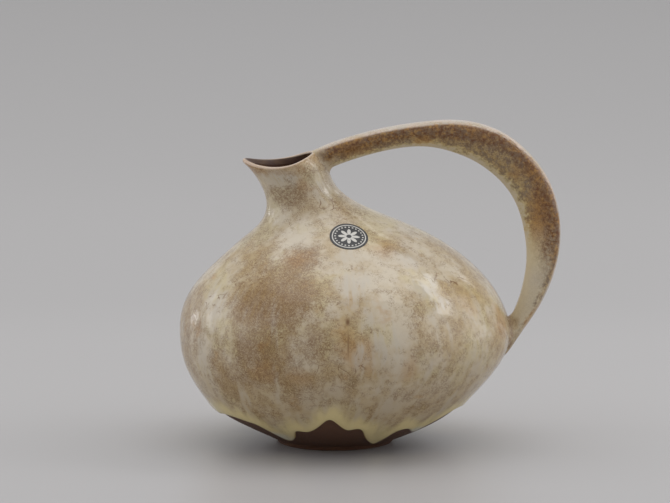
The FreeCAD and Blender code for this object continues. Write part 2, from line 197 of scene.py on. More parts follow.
class VaseColours(bpy.types.PropertyGroup):
    """Colours of the clay, the glazes and the label."""

    cream: colour_setting("Cream", "Main colour of the glaze", (0.60, 0.525, 0.41))
    straw: colour_setting("Straw", "Yellow clouds in the glaze", (0.56, 0.465, 0.255))
    sand: colour_setting("Sand", "Warmer colour of the glaze", (0.45, 0.322, 0.150))
    tan: colour_setting("Tan", "Brown patches of the glaze", (0.285, 0.162, 0.044))
    fibre: colour_setting("Fibre", "Fine brown fibres in the glaze", (0.15, 0.066, 0.020))
    ochre: colour_setting("Ochre", "Warm spots where the glaze is thin", (0.42, 0.220, 0.058))
    milk: colour_setting("Milk", "Milky streaks that ran down", (0.53, 0.475, 0.395))
    edge_cream: colour_setting("Edge Cream", "Thick glaze along the lower edge", (0.72, 0.60, 0.30))
    pale_run: colour_setting("Pale Run", "Thin milky glaze that ran below the edge", (0.60, 0.60, 0.53))
    rust: colour_setting("Rust", "Brown band along the handle", (0.145, 0.054, 0.018))
    ash: colour_setting("Ash", "Grey tan middle of the handle", (0.245, 0.185, 0.125))
    # Lip pink is the thin pink glaze of the rim; on the handle's crown it is also a painted highlight
    # line.
    lip_pink_and_crown_highlight: colour_setting("Lip Pink", "Thin glaze on rim and crown", (0.62, 0.49, 0.40))
    bare_clay: colour_setting("Bare Clay", "Fired clay at the foot", (0.095, 0.038, 0.020))
    inside_brown: colour_setting("Inside Brown", "Glaze inside the vase", (0.048, 0.015, 0.005))
    label_dark: colour_setting("Label Dark", "Ground of the label", (0.022, 0.022, 0.024))
    label_pale: colour_setting("Label Pale", "Pattern of the label", (0.60, 0.58, 0.54))
    floor_grey: colour_setting("Floor Grey", "Floor and backdrop", (0.505, 0.492, 0.496))


def sizes():
    return bpy.context.scene.vase_sizes


def colour(name):
    """One of the vase's colours with full alpha."""
    return (*getattr(bpy.context.scene.vase_colours, name), 1.0)


# The form as smooth lines.

def natural_bends(knots, values):
    """Second derivatives of the natural cubic lines through the values."""
    count = len(knots)
    gaps = np.diff(knots)
    slopes = np.diff(values, axis=0) / gaps[:, None]
    system = np.eye(count)
    right = np.zeros_like(values)
    for n in range(1, count - 1):
        system[n, n - 1:n + 2] = (gaps[n - 1], 2 * (gaps[n - 1] + gaps[n]), gaps[n])
        right[n] = 6 * (slopes[n] - slopes[n - 1])
    return np.linalg.solve(system, right)


class SmoothLine:
    """Cubic lines through rows of values, read at a distance along them."""

    def __init__(self, knots, values):
        self.knots = np.asarray(knots, float)
        self.values = np.asarray(values, float)
        self.bends = natural_bends(self.knots, self.values)

    def at(self, place):
        place = np.clip(np.asarray(place, float), self.knots[0], self.knots[-1])
        span = np.clip(np.searchsorted(self.knots, place) - 1, 0, len(self.knots) - 2)
        gap = (self.knots[span + 1] - self.knots[span])[..., None]
        high = (place - self.knots[span])[..., None] / gap
        low = 1 - high
        straight = low * self.values[span] + high * self.values[span + 1]
        bend = (low ** 3 - low) * self.bends[span] + (high ** 3 - high) * self.bends[span + 1]
        return straight + bend * gap ** 2 / 6


def spread(low, high, share):
    return low + (high - low) * share


def form_rings():
    """Height, left reach, right reach and half depth of each ring."""
    spans = [
        (FOOT, BELLY, LOWER_BELLY_SHARES),
        (BELLY, THROAT, SHOULDER_SHARES),
        (THROAT, MOUTH, NECK_SHARES),
    ]
    rows = []
    for lower, upper, table in spans:
        for *shares, flat_share in table:
            height, left, right = map(spread, lower, upper, shares)
            rows.append((height, left, right, (left + right) / 2 - FLATTENING * flat_share))
    return np.array(rows)


def distances_along(first, second):
    """Distance along a flat line of points to each of them, from their two coordinates."""
    return np.concatenate([[0], np.cumsum(np.hypot(np.diff(first), np.diff(second)))])


def unit(vectors):
    return vectors / np.linalg.norm(vectors, axis=-1, keepdims=True)


RINGS = form_rings()
RING_PLACES = distances_along(RINGS[:, 0], RINGS[:, 1:3].mean(axis=1))
FORM = SmoothLine(RING_PLACES, RINGS)
BELLY_PLACE = RING_PLACES[len(LOWER_BELLY_SHARES)]
THROAT_PLACE = RING_PLACES[len(LOWER_BELLY_SHARES) + len(SHOULDER_SHARES)]


def form_points(places, turns):
    """Points of the outer form at places up its side and turns round it."""
    height, left, right, half_depth = np.moveaxis(FORM.at(places), -1, 0)
    x = (right - left) / 2 + (left + right) / 2 * np.cos(turns)
    return np.stack([x, half_depth * np.sin(turns), height], axis=-1)


def climb(places, turns):
    """A short step up the side."""
    below = np.maximum(places - SIDE_STEP, 0)
    return form_points(places + SIDE_STEP, turns) - form_points(below, turns)


def form_normals(places, turns):
    """Outward normals of the outer form."""
    onward = form_points(places, turns + TURN_STEP) - form_points(places, turns - TURN_STEP)
    return unit(np.cross(onward, climb(places, turns)))


def form_inset(places, turns, depth):
    """Points of the form sunk by one depth or by a depth for each column."""
    return form_points(places, turns) - form_normals(places, turns) * np.reshape(depth, (-1, 1))


def rim_height(x):
    """Height of the rim over a place along the vase."""
    middle = (MOUTH[2] - MOUTH[1]) / 2 - SADDLE_SHIFT
    bend = middle + SADDLE_RADIUS * math.sin(RIM_SLOPE)
    across = np.clip(x - middle, -SADDLE_RADIUS, SADDLE_RADIUS)
    saddle = MOUTH[0] + SADDLE_RADIUS - np.sqrt(SADDLE_RADIUS ** 2 - across ** 2)
    bend_height = MOUTH[0] + SADDLE_RADIUS * (1 - math.cos(RIM_SLOPE))
    return np.where(x < bend, saddle, bend_height + (x - bend) * math.tan(RIM_SLOPE))


def column_turns(count):
    return np.linspace(0, 2 * math.pi, count, endpoint=False)


def crossing_places(low, high, is_over):
    """How far up the side each column passes a test, by halving the span between two places."""
    for _ in range(HALVINGS):
        middle = (low + high) / 2
        over = is_over(middle)
        high = np.where(over, middle, high)
        low = np.where(over, low, middle)
    return low


def rim_places(turns):
    """How far up the side the rim is, for each column."""

    def over_rim(places):
        points = form_points(places, turns)
        return points[:, 2] > rim_height(points[:, 0])

    low = np.full(len(turns), THROAT_PLACE)
    high = np.full(len(turns), RING_PLACES[-1])
    return crossing_places(low, high, over_rim)


def edge_height(azimuths):
    """Height of the glaze's lower edge at azimuths in degrees, as one closed smooth line."""
    angles, heights = np.array(EDGE_LINE, float).T
    knots = np.concatenate([angles - 360, angles, angles + 360])
    line = SmoothLine(knots, np.tile(heights * MM, 3)[:, None])
    return line.at(np.mod(azimuths, 360))[..., 0]


def edge_places(turns):
    """How far up the side the glaze's lower edge is, for each column."""

    def over_edge(places):
        points = form_points(places, turns)
        azimuths = np.degrees(np.arctan2(-points[:, 1], points[:, 0]))
        return points[:, 2] > edge_height(azimuths)

    return crossing_places(np.zeros(len(turns)), np.full(len(turns), BELLY_PLACE), over_edge)


def wall_at(places, rims):
    """Whole thickness of the glazed wall, thinning towards the rim."""
    body = sizes().wall_thickness + sizes().glaze_thickness + sizes().liner_thickness
    below = (rims - places) / (rims - THROAT_PLACE)
    share = np.clip(below, 0, 1) ** 0.8
    return sizes().rim_thickness + (body - sizes().rim_thickness) * share


def wander(points):
    """Small slow bumps of the thrown and glazed surface."""
    places = [Vector(p) for p in points]
    wide = [noise.noise(place / WIDE_BUMPS) for place in places]
    small = [noise.noise(place / SMALL_BUMPS + SMALL_BUMP_SHIFT) for place in places]
    return (np.array(wide) + SMALL_BUMP_SHARE * np.array(small)) * sizes().unevenness


def flow_at(turns, heights):
    """Where streaks read their pattern: close round the vase and drawn out down its side."""
    return np.stack([np.cos(turns), np.sin(turns), heights * STREAK_CLIMB], axis=-1) * STREAK_RADIUS


# Meshes.

# Points closer than this are merged.
DOUBLES_APART = 0.005 * MM


def quads_between(rows, closed=False):
    """Faces between rows of points round the vase, and from the last row to the first if closed."""
    count = len(rows[0])
    faces = []
    for r in range(len(rows) if closed else len(rows) - 1):
        below = r * count
        above = (r + 1) % len(rows) * count
        for c in range(count):
            d = (c + 1) % count
            faces.append((below + c, below + d, above + d, above + c))
    return faces


def mesh_from_rows(name, rows, poles=None):
    """A closed mesh through rows of points, between two poles or from the last row to the first."""
    count = len(rows[0])
    points = [tuple(p) for row in rows for p in row]
    faces = quads_between(rows, closed=poles is None)
    if poles:
        first = len(points)
        top = first - count
        points += [tuple(pole) for pole in poles]
        faces += [(first, (c + 1) % count, c) for c in range(count)]
        faces += [(first + 1, top + c, top + (c + 1) % count) for c in range(count)]
    mesh = bpy.data.meshes.new(name)
    mesh.from_pydata(points, [], faces)
    mesh.validate()
    mesh.polygons.foreach_set("use_smooth", [True] * len(mesh.polygons))
    mesh.update()
    return mesh


def face_outwards(mesh):
    """Merge doubles and turn every face of a closed mesh outwards."""
    work = bmesh.new()
    work.from_mesh(mesh)
    bmesh.ops.remove_doubles(work, verts=work.verts, dist=DOUBLES_APART)
    bmesh.ops.recalc_face_normals(work, faces=work.faces)
    if work.calc_volume(signed=True) < 0:
        bmesh.ops.reverse_faces(work, faces=work.faces)
    work.to_mesh(mesh)
    work.free()
    mesh.update()


def store(mesh, name, values, kind="FLOAT"):
    """Keep values on the mesh's points for a material to read."""
    attribute = mesh.attributes.new(name, kind, "POINT")
    key = "vector" if kind == "FLOAT_VECTOR" else "value"
    attribute.data.foreach_set(key, np.asarray(values, np.float32).ravel())


def place_piece(name, mesh, material, nodes):
    """Put a finished mesh in the scene as the piece that stands for CAD nodes."""
    piece = bpy.data.objects.new(name, mesh)
    bpy.context.scene.collection.objects.link(piece)
    mesh.materials.clear()
    mesh.materials.append(material)
    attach(piece, "root")
    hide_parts(*nodes)


# Shading nodes.

class NodeWork:
    """Short calls for adding nodes to one tree."""

    def __init__(self, tree):
        self.tree = tree

    def feed(self, socket, value):
        if isinstance(value, bpy.types.NodeSocket):
            self.tree.links.new(value, socket)
        else:
            socket.default_value = value

    def add(self, kind, inputs=None, **settings):
        node = self.tree.nodes.new(kind)
        for key, value in settings.items():
            setattr(node, key, value)
        for key, value in (inputs or {}).items():
            self.feed(node.inputs[key], value)
        return node

    def calc(self, operation, *values):
        return self.add("ShaderNodeMath", dict(enumerate(values)), operation=operation).outputs[0]

    def plus(self, first, second):
        return self.calc("ADD", first, second)

    def minus(self, first, second):
        return self.calc("SUBTRACT", first, second)

    def times(self, first, second):
        return self.calc("MULTIPLY", first, second)

    def larger(self, first, second):
        return self.calc("MAXIMUM", first, second)

    def vector(self, operation, *values):
        node = self.add("ShaderNodeVectorMath", dict(enumerate(values)), operation=operation)
        return node.outputs["Value" if operation == "LENGTH" else "Vector"]

    def scaled(self, vector, factor):
        inputs = {"Vector": vector, "Scale": factor}
        return self.add("ShaderNodeVectorMath", inputs, operation="SCALE").outputs["Vector"]

    def part(self, vector, axis):
        return self.add("ShaderNodeSeparateXYZ", {0: vector}).outputs[axis]

    def noise(self, place, scale, detail=2.0, roughness=0.5, distortion=0.0):
        inputs = {"Vector": place, "Scale": scale, "Detail": detail, "Roughness": roughness}
        inputs["Distortion"] = distortion
        return self.add("ShaderNodeTexNoise", inputs).outputs[0]

    def remap(self, value, low, high, to_low=0.0, to_high=1.0):
        inputs = {"Value": value, "From Min": low, "From Max": high, "To Min": to_low, "To Max": to_high}
        return self.add("ShaderNodeMapRange", inputs, interpolation_type="SMOOTHSTEP").outputs["Result"]

    def blend(self, share, first, second):
        """One colour laid over another by a share."""
        return self.add("ShaderNodeMix", {0: share, 6: first, 7: second}, data_type="RGBA").outputs[2]

    def attribute(self, name, output="Fac"):
        return self.add("ShaderNodeAttribute", attribute_name=name).outputs[output]

    def group(self, group, inputs):
        return self.add("ShaderNodeGroup", inputs, node_tree=group).outputs

    def patch(self, soft_patch, place, ragged, centre, reach):
        """One soft patch, with its centre and reach in millimetres."""
        inputs = {"Place": place, "Ragged": ragged, "Centre": in_metres(centre), "Reach": in_metres(reach)}
        return self.group(soft_patch, inputs)["Mask"]

    def speckle(self, fibre, place, scale, amount):
        return self.group(fibre, {"Place": place, "Scale": scale, "Amount": amount})["Mask"]


def new_tree(name, kind, inputs, outputs):
    """An empty node group with named sockets, its work, its inputs as outputs and its outputs."""
    tree = bpy.data.node_groups.new(name, kind)
    for titles, way in ((inputs, "INPUT"), (outputs, "OUTPUT")):
        for title, socket in titles:
            tree.interface.new_socket(title, in_out=way, socket_type=f"NodeSocket{socket}")
    work = NodeWork(tree)
    return tree, work, work.add("NodeGroupInput").outputs, work.add("NodeGroupOutput").inputs


def shader_group(name, inputs, outputs):
    return new_tree(name, "ShaderNodeTree", inputs, outputs)


def in_metres(place):
    return tuple(MM * length for length in place)


def soft_patch_group():
    """An oval patch with a ragged soft edge."""
    inputs = [("Place", "Vector"), ("Centre", "Vector"), ("Reach", "Vector"), ("Ragged", "Float")]
    group, work, start, end = shader_group("Soft Patch", inputs, [("Mask", "Float")])
    away = work.vector("SUBTRACT", start["Place"], start["Centre"])
    share = work.vector("LENGTH", work.vector("DIVIDE", away, start["Reach"]))
    rough = work.plus(share, start["Ragged"])
    work.feed(end["Mask"], work.remap(rough, 1.35, 0.15))
    return group


def fibre_group():
    """Fine curly fibres and grains that crowd together where the amount is high."""
    inputs = [("Place", "Vector"), ("Scale", "Float"), ("Amount", "Float")]
    group, work, start, end = shader_group("Fibre Speckle", inputs, [("Mask", "Float")])
    curl = work.noise(start["Place"], start["Scale"], 2.0, 0.6, 0.8)
    line = work.calc("ABSOLUTE", work.minus(curl, 0.5))
    fibres = work.remap(line, 0.06, 0.01)
    clusters = work.noise(start["Place"], work.times(start["Scale"], 0.24), 4.0, 0.7)
    limit = work.minus(0.76, work.times(start["Amount"], 0.42))
    low = work.minus(limit, 0.09)
    crowd = work.remap(clusters, low, work.plus(limit, 0.09))
    fine = work.noise(start["Place"], work.times(start["Scale"], 1.8), 1.0)
    grains = work.remap(fine, 0.52, 0.72, 0.0, 0.8)
    work.feed(end["Mask"], work.times(work.larger(fibres, grains), crowd))
    return group


def crackle_group():
    """Thin broken wavering lines between cells."""
    inputs = [("Place", "Vector"), ("Scale", "Float"), ("Width", "Float")]
    group, work, start, end = shader_group("Crackle", inputs, [("Mask", "Float")])
    waver = work.add("ShaderNodeTexNoise", {"Vector": start["Place"], "Scale": 240.0, "Detail": 3.0})
    moved = work.vector("ADD", start["Place"], work.scaled(waver.outputs["Color"], 0.006))
    inputs = {"Vector": moved, "Scale": start["Scale"]}
    cells = work.add("ShaderNodeTexVoronoi", inputs, feature="DISTANCE_TO_EDGE")
    line = work.remap(cells.outputs["Distance"], start["Width"], 0.0)
    broken = work.remap(work.noise(start["Place"], 150.0, 2.0), 0.42, 0.56)
    work.feed(end["Mask"], work.times(line, broken))
    return group


# Places on the photographed side where the glaze changes, in millimetres: centre, reach, share.
TAN_PATCHES = [
    ((-29, -58, 75), (25, 20, 29), 1.00),
    ((-38, -62, 56), (24, 18, 22), 0.80),
    ((-50, -46, 42), (16, 22, 15), 0.40),
    ((-15, -42, 94), (11, 12, 9), 0.80),
    ((-9, -70, 62), (14, 14, 19), 0.55),
    ((-20, -15, 121), (13, 22, 6), 0.60),
    ((-8, -16, 115), (16, 14, 8), 0.12),
    ((44, -60, 58), (26, 20, 26), 0.12),
    ((32, -38, 95), (14, 12, 10), 0.28),
    ((-66, -20, 60), (12, 26, 26), 0.45),
    ((-12, -68, 38), (22, 14, 12), 0.34),
    ((44, -54, 34), (24, 18, 12), 0.25),
    ((-30, 55, 74), (26, 20, 24), 0.80),
    ((28, 62, 52), (24, 18, 22), 0.60),
    ((66, 26, 66), (14, 22, 18), 0.55),
    ((8, 30, 106), (18, 16, 9), 0.55),
]
MILK_AND_HIGHLIGHT_PATCHES = [
    ((9, -60, 84), (9, 14, 14), 0.85),
    ((6, -42, 97), (9, 9, 8), 0.65),
    ((17, -68, 70), (8, 10, 10), 0.75),
    ((26, -72, 52), (8, 9, 20), 0.75),
    ((25, -64, 30), (9, 10, 12), 0.75),
    ((-5, -68, 34), (15, 10, 9), 0.45),
    ((33, -37, 94), (8, 9, 7), 0.80),
    # These two sit in the shape of the key strip's highlight: milky glaze that is also a painted highlight
    # which whitens it.
    ((43, -48, 83), (8, 9, 9), 0.90),
    ((50, -53, 73), (6, 8, 7), 0.85),
    ((-56, -38, 74), (8, 18, 13), 0.70),
    ((-20, -30, 106), (10, 12, 8), 0.20),
    ((68, -42, 46), (12, 16, 11), 0.50),
    ((-28, -17, 130), (14, 12, 5), 0.80),
    ((-5, -13, 123), (9, 12, 9), 0.65),
    ((-8, 66, 62), (10, 12, 24), 0.80),
    ((48, 54, 60), (9, 14, 22), 0.70),
    ((-60, 32, 52), (12, 16, 18), 0.55),
]
OCHRE_PATCHES = [
    ((-17, -43, 95), (9, 9, 5), 0.75),
    ((4, -73, 64), (7, 5, 9), 0.55),
    ((10, -74, 55), (8, 5, 10), 0.60),
    ((-34, -64, 45), (9, 7, 6), 0.50),
    ((-15, -71, 42), (8, 6, 5), 0.45),
    ((64, -38, 74), (8, 10, 8), 0.35),
    ((24, -34, 98), (8, 8, 6), 0.45),
    ((79, -22, 62), (5, 9, 13), 0.55),
    ((16, -73, 52), (4, 5, 12), 0.50),
    ((35, -67, 44), (5, 6, 12), 0.45),
    ((-40, -3, 131), (6, 8, 5), 0.50),
    ((20, 70, 58), (9, 8, 12), 0.60),
    ((-40, 48, 84), (10, 10, 8), 0.50),
]
CRACKED_PATCHES = [
    ((-2, -16, 116), (14, 12, 6), 1.0),
    ((54, -34, 85), (18, 12, 5), 1.0),
    ((0, -73, 48), (18, 9, 8), 1.0),
    ((-58, -34, 74), (10, 16, 8), 1.0),
    ((22, 58, 74), (16, 14, 8), 1.0),
]
# The orange place on the handle's outermost side: centre and reach.
ORANGE_PATCH = ((98, 0, 109), (7, 30, 20))
# Milky runs below the glaze's yellow edge.
PALE_RUNS = [
    ((-28, -33, 9), (11, 11, 4), 0.9),
    ((38, -32, 11), (8, 9, 3), 0.8),
    ((30, 36, 9), (10, 10, 4), 0.8),
]
# One long brown tear below the label: its head and its tail.
TEAR = [
    ((6.0, -72.0, 69.5), (1.4, 5.0, 2.2), 1.0),
    ((6.2, -74.0, 60.0), (0.6, 5.0, 8.0), 0.6),
]


def patches(work, place, ragged, table, soft_patch):
    """The strongest of several soft patches at each point."""
    total = 0.0
    for centre, reach, share in table:
        mask = work.patch(soft_patch, place, ragged, centre, reach)
        total = work.larger(total, work.times(mask, share))
    return total


GLAZE_COLOURS = ["Cream", "Straw", "Sand", "Tan", "Fibre", "Ochre", "Milk"]


def body_glaze_group(soft_patch, fibre, crackle):
    """The mottled glaze of the body, read from the place on it and from the flow down its side, with
    painted shade low on the belly and milk patches that are partly a painted highlight.
    """
    inputs = [("Place", "Vector"), ("Flow", "Vector")] + [(name, "Color") for name in GLAZE_COLOURS]
    outputs = [("Colour", "Color"), ("Marks", "Float")]
    group, work, start, end = shader_group("Body Glaze", inputs, outputs)
    place = start["Place"]
    flow = start["Flow"]
    ragged = work.remap(work.noise(place, 90.0, 4.0, 0.65), 0.25, 0.75, -0.42, 0.42)
    clouds = work.noise(place, 42.0, 4.0, 0.6)
    runs = work.noise(flow, 95.0, 3.0, 0.55)
    fine_runs = work.noise(flow, 320.0, 2.0, 0.6)
    tan = patches(work, place, ragged, TAN_PATCHES, soft_patch)
    # Milk patches; the two under the key strip are partly a painted highlight.
    milk = patches(work, place, ragged, MILK_AND_HIGHLIGHT_PATCHES, soft_patch)
    ochre = patches(work, place, ragged, OCHRE_PATCHES, soft_patch)
    cracked = patches(work, place, ragged, CRACKED_PATCHES, soft_patch)

    colour = work.blend(work.remap(clouds, 0.38, 0.66, 0.08, 0.88), start["Cream"], start["Sand"])
    straw = work.remap(work.noise(place, 52.0, 3.0, 0.6), 0.48, 0.64, 0.0, 0.65)
    colour = work.blend(straw, colour, start["Straw"])
    dusting = work.remap(work.noise(place, 120.0, 5.0, 0.7), 0.48, 0.72, 0.0, 0.34)
    colour = work.blend(dusting, colour, start["Tan"])
    colour = work.blend(work.times(tan, 0.72), colour, start["Tan"])
    warm = work.remap(work.noise(place, 75.0, 3.0, 0.6), 0.60, 0.74, 0.0, 0.5)
    colour = work.blend(work.larger(warm, ochre), colour, start["Ochre"])
    height = work.part(place, "Z")
    lower = work.remap(height, 0.095, 0.055)
    streaks = work.times(work.remap(runs, 0.50, 0.66, 0.0, 0.75), lower)
    milky = work.larger(milk, streaks)
    milky = work.times(milky, work.remap(fine_runs, 0.36, 0.58, 0.30, 1.0))
    colour = work.blend(milky, colour, start["Milk"])
    # Painted shade: the glaze is blended towards darker sand low on the belly.
    colour = work.blend(work.remap(height, 0.060, 0.020, 0.0, 0.42), colour, start["Sand"])
    colour = work.blend(work.remap(height, 0.080, 0.120, 0.0, 0.25), colour, start["Milk"])

    amount = work.plus(work.remap(clouds, 0.35, 0.70, 0.46, 0.76), work.times(tan, 0.80))
    amount = work.minus(amount, work.times(milky, 0.48))
    small = work.speckle(fibre, place, 900.0, amount)
    large = work.speckle(fibre, place, 430.0, work.minus(amount, 0.16))
    marks = work.larger(work.times(small, 0.60), work.times(large, 0.66))
    lines = work.group(crackle, {"Place": place, "Scale": 125.0, "Width": 0.055})["Mask"]
    marks = work.larger(marks, work.times(lines, cracked))
    marks = work.larger(marks, patches(work, place, 0.0, TEAR, soft_patch))
    colour = work.blend(marks, colour, start["Fibre"])
    work.feed(end["Colour"], colour)
    work.feed(end["Marks"], marks)
    return group


def skin_group():
    """Height and roughness of a glaze: slow ripples, orange peel and what the marks leave."""
    inputs = [("Place", "Vector"), ("Marks", "Float")]
    outputs = [("Height", "Float"), ("Roughness", "Float")]
    group, work, start, end = shader_group("Glaze Skin", inputs, outputs)
    ripples = work.noise(start["Place"], 160.0, 2.0, 0.5)
    peel = work.noise(start["Place"], 620.0, 2.0, 0.6)
    height = work.plus(work.times(ripples, 0.85), work.times(peel, 0.05))
    height = work.minus(height, work.times(start["Marks"], 0.12))
    work.feed(end["Height"], height)
    work.feed(end["Roughness"], work.plus(0.06, work.times(start["Marks"], 0.16)))
    return group


class Finishes:
    """The shader groups, built once and shared by the glaze materials."""

    def __init__(self):
        self.soft_patch = soft_patch_group()
        self.fibre = fibre_group()
        self.crackle = crackle_group()
        self.body_glaze = body_glaze_group(self.soft_patch, self.fibre, self.crackle)
        self.skin = skin_group()


def finishes():
    """The shared groups, made on the first call."""
    if not hasattr(Finishes, "built"):
        Finishes.built = Finishes()
    return Finishes.built


# How deep the fine relief of each finish is.
GLAZE_RELIEF = 0.22 * MM
CLAY_RELIEF = 0.16 * MM
FAINT_RELIEF = 0.1 * MM


def new_material(name):
    """A node material with its shader, and the place on the object that its patterns read."""
    material = bpy.data.materials.new(name)
    material.use_nodes = True
    work = NodeWork(material.node_tree)
    shader = material.node_tree.nodes["Principled BSDF"]
    place = work.add("ShaderNodeTexCoord").outputs["Object"]
    return material, work, shader, place


def body_glaze(work, place, flow):
    """The shared body glaze in the vase's colours."""
    colours = {name: colour(name.lower()) for name in GLAZE_COLOURS}
    return work.group(finishes().body_glaze, {"Place": place, "Flow": flow, **colours})


def finish_surface(work, shader, colour, roughness, height, relief):
    """Feed a material's shader."""
    work.feed(shader.inputs["Base Color"], colour)
    work.feed(shader.inputs["Roughness"], roughness)
    bump = work.add("ShaderNodeBump", {"Height": height, "Strength": 1.0, "Distance": relief})
    work.feed(shader.inputs["Normal"], bump.outputs["Normal"])
    shader.inputs["IOR"].default_value = 1.5


def lining_colour(work, mottle):
    """Dark brown that clears to tan in places, for the inside and the lip's inner side."""
    return work.blend(work.remap(mottle, 0.35, 0.7, 0.0, 0.12), colour("inside_brown"), colour("tan"))


def outer_glaze_material():
    """Mottled cream glaze with a thick yellow edge, a thin brown pink lip and a dark inside."""
    material, work, shader, place = new_material("Outer Glaze")
    flow = work.attribute("flow", "Vector")
    edge_gap = work.attribute("edge_gap")
    rim_gap = work.attribute("rim_gap")
    inside = work.attribute("inside")
    glaze = body_glaze(work, place, flow)
    surface = glaze["Colour"]

    waver = work.remap(work.noise(flow, 150.0, 2.0), 0.3, 0.7, -2.5, 2.5)
    band = work.remap(work.plus(edge_gap, waver), 12.0, 3.5)
    surface = work.blend(work.times(band, 0.9), surface, colour("edge_cream"))
    pale = patches(work, place, 0.0, PALE_RUNS, finishes().soft_patch)
    surface = work.blend(pale, surface, colour("pale_run"))
    thin = work.times(work.remap(edge_gap, 0.9, 0.1), 0.55)
    surface = work.blend(thin, surface, colour("ochre"))

    near_rim = work.plus(rim_gap, work.remap(work.noise(place, 300.0, 3.0), 0.3, 0.7, -1.6, 1.6))
    tip = work.remap(work.part(place, "X"), -0.030, -0.038, 0.35, 1.0)
    rusty = work.times(work.remap(near_rim, 6.0, 1.5), tip)
    grains = work.speckle(finishes().fibre, place, 700.0, 1.25)
    surface = work.blend(work.times(rusty, 0.65), surface, colour("ochre"))
    rusty_grains = work.times(work.times(rusty, grains), 0.7)
    surface = work.blend(rusty_grains, surface, colour("rust"))
    surface = work.blend(work.remap(rim_gap, 0.95, 0.1, 0.0, 0.62), surface, colour("lip_pink_and_crown_highlight"))
    lining = lining_colour(work, work.noise(place, 260.0, 4.0, 0.6))
    surface = work.blend(work.remap(inside, 0.12, 0.55), surface, lining)
    skin = work.group(finishes().skin, {"Place": place, "Marks": glaze["Marks"]})
    roughness = work.plus(skin["Roughness"], work.times(inside, 0.6))
    finish_surface(work, shader, surface, roughness, skin["Height"], GLAZE_RELIEF)
    return material


def inner_glaze_material():
    """Dark brown glaze with faint rings from throwing."""
    material, work, shader, place = new_material("Inner Glaze")
    height = work.part(place, "Z")
    rings = work.calc("SINE", work.times(height, 1400.0))
    mottle = work.noise(place, 260.0, 4.0, 0.6)
    surface = lining_colour(work, mottle)
    finish_surface(work, shader, surface, 0.5, work.plus(rings, mottle), FAINT_RELIEF)
    shader.inputs["Specular IOR Level"].default_value = 0.12
    return material


def bare_clay_material(name):
    """Dark fired clay with sand grains and turning marks."""
    material, work, shader, place = new_material(name)
    height = work.part(place, "Z")
    waver = work.noise(place, 60.0, 2.0)
    ring_place = work.add("ShaderNodeCombineXYZ", {"Z": height, "X": waver}).outputs[0]
    turning = work.noise(ring_place, 1500.0, 1.0)
    grains = work.noise(place, 1500.0, 3.0, 0.7)
    pits = work.remap(work.noise(place, 700.0, 2.0), 0.62, 0.75)
    pale = work.blend(work.remap(grains, 0.45, 0.75, 0.0, 0.35), colour("bare_clay"), colour("tan"))
    surface = work.blend(work.times(pits, 0.7), pale, colour("label_dark"))
    relief = work.plus(work.times(turning, 0.6), work.times(grains, 0.5))
    finish_surface(work, shader, surface, work.remap(grains, 0.3, 0.7, 0.5, 0.72), relief, CLAY_RELIEF)
    return material


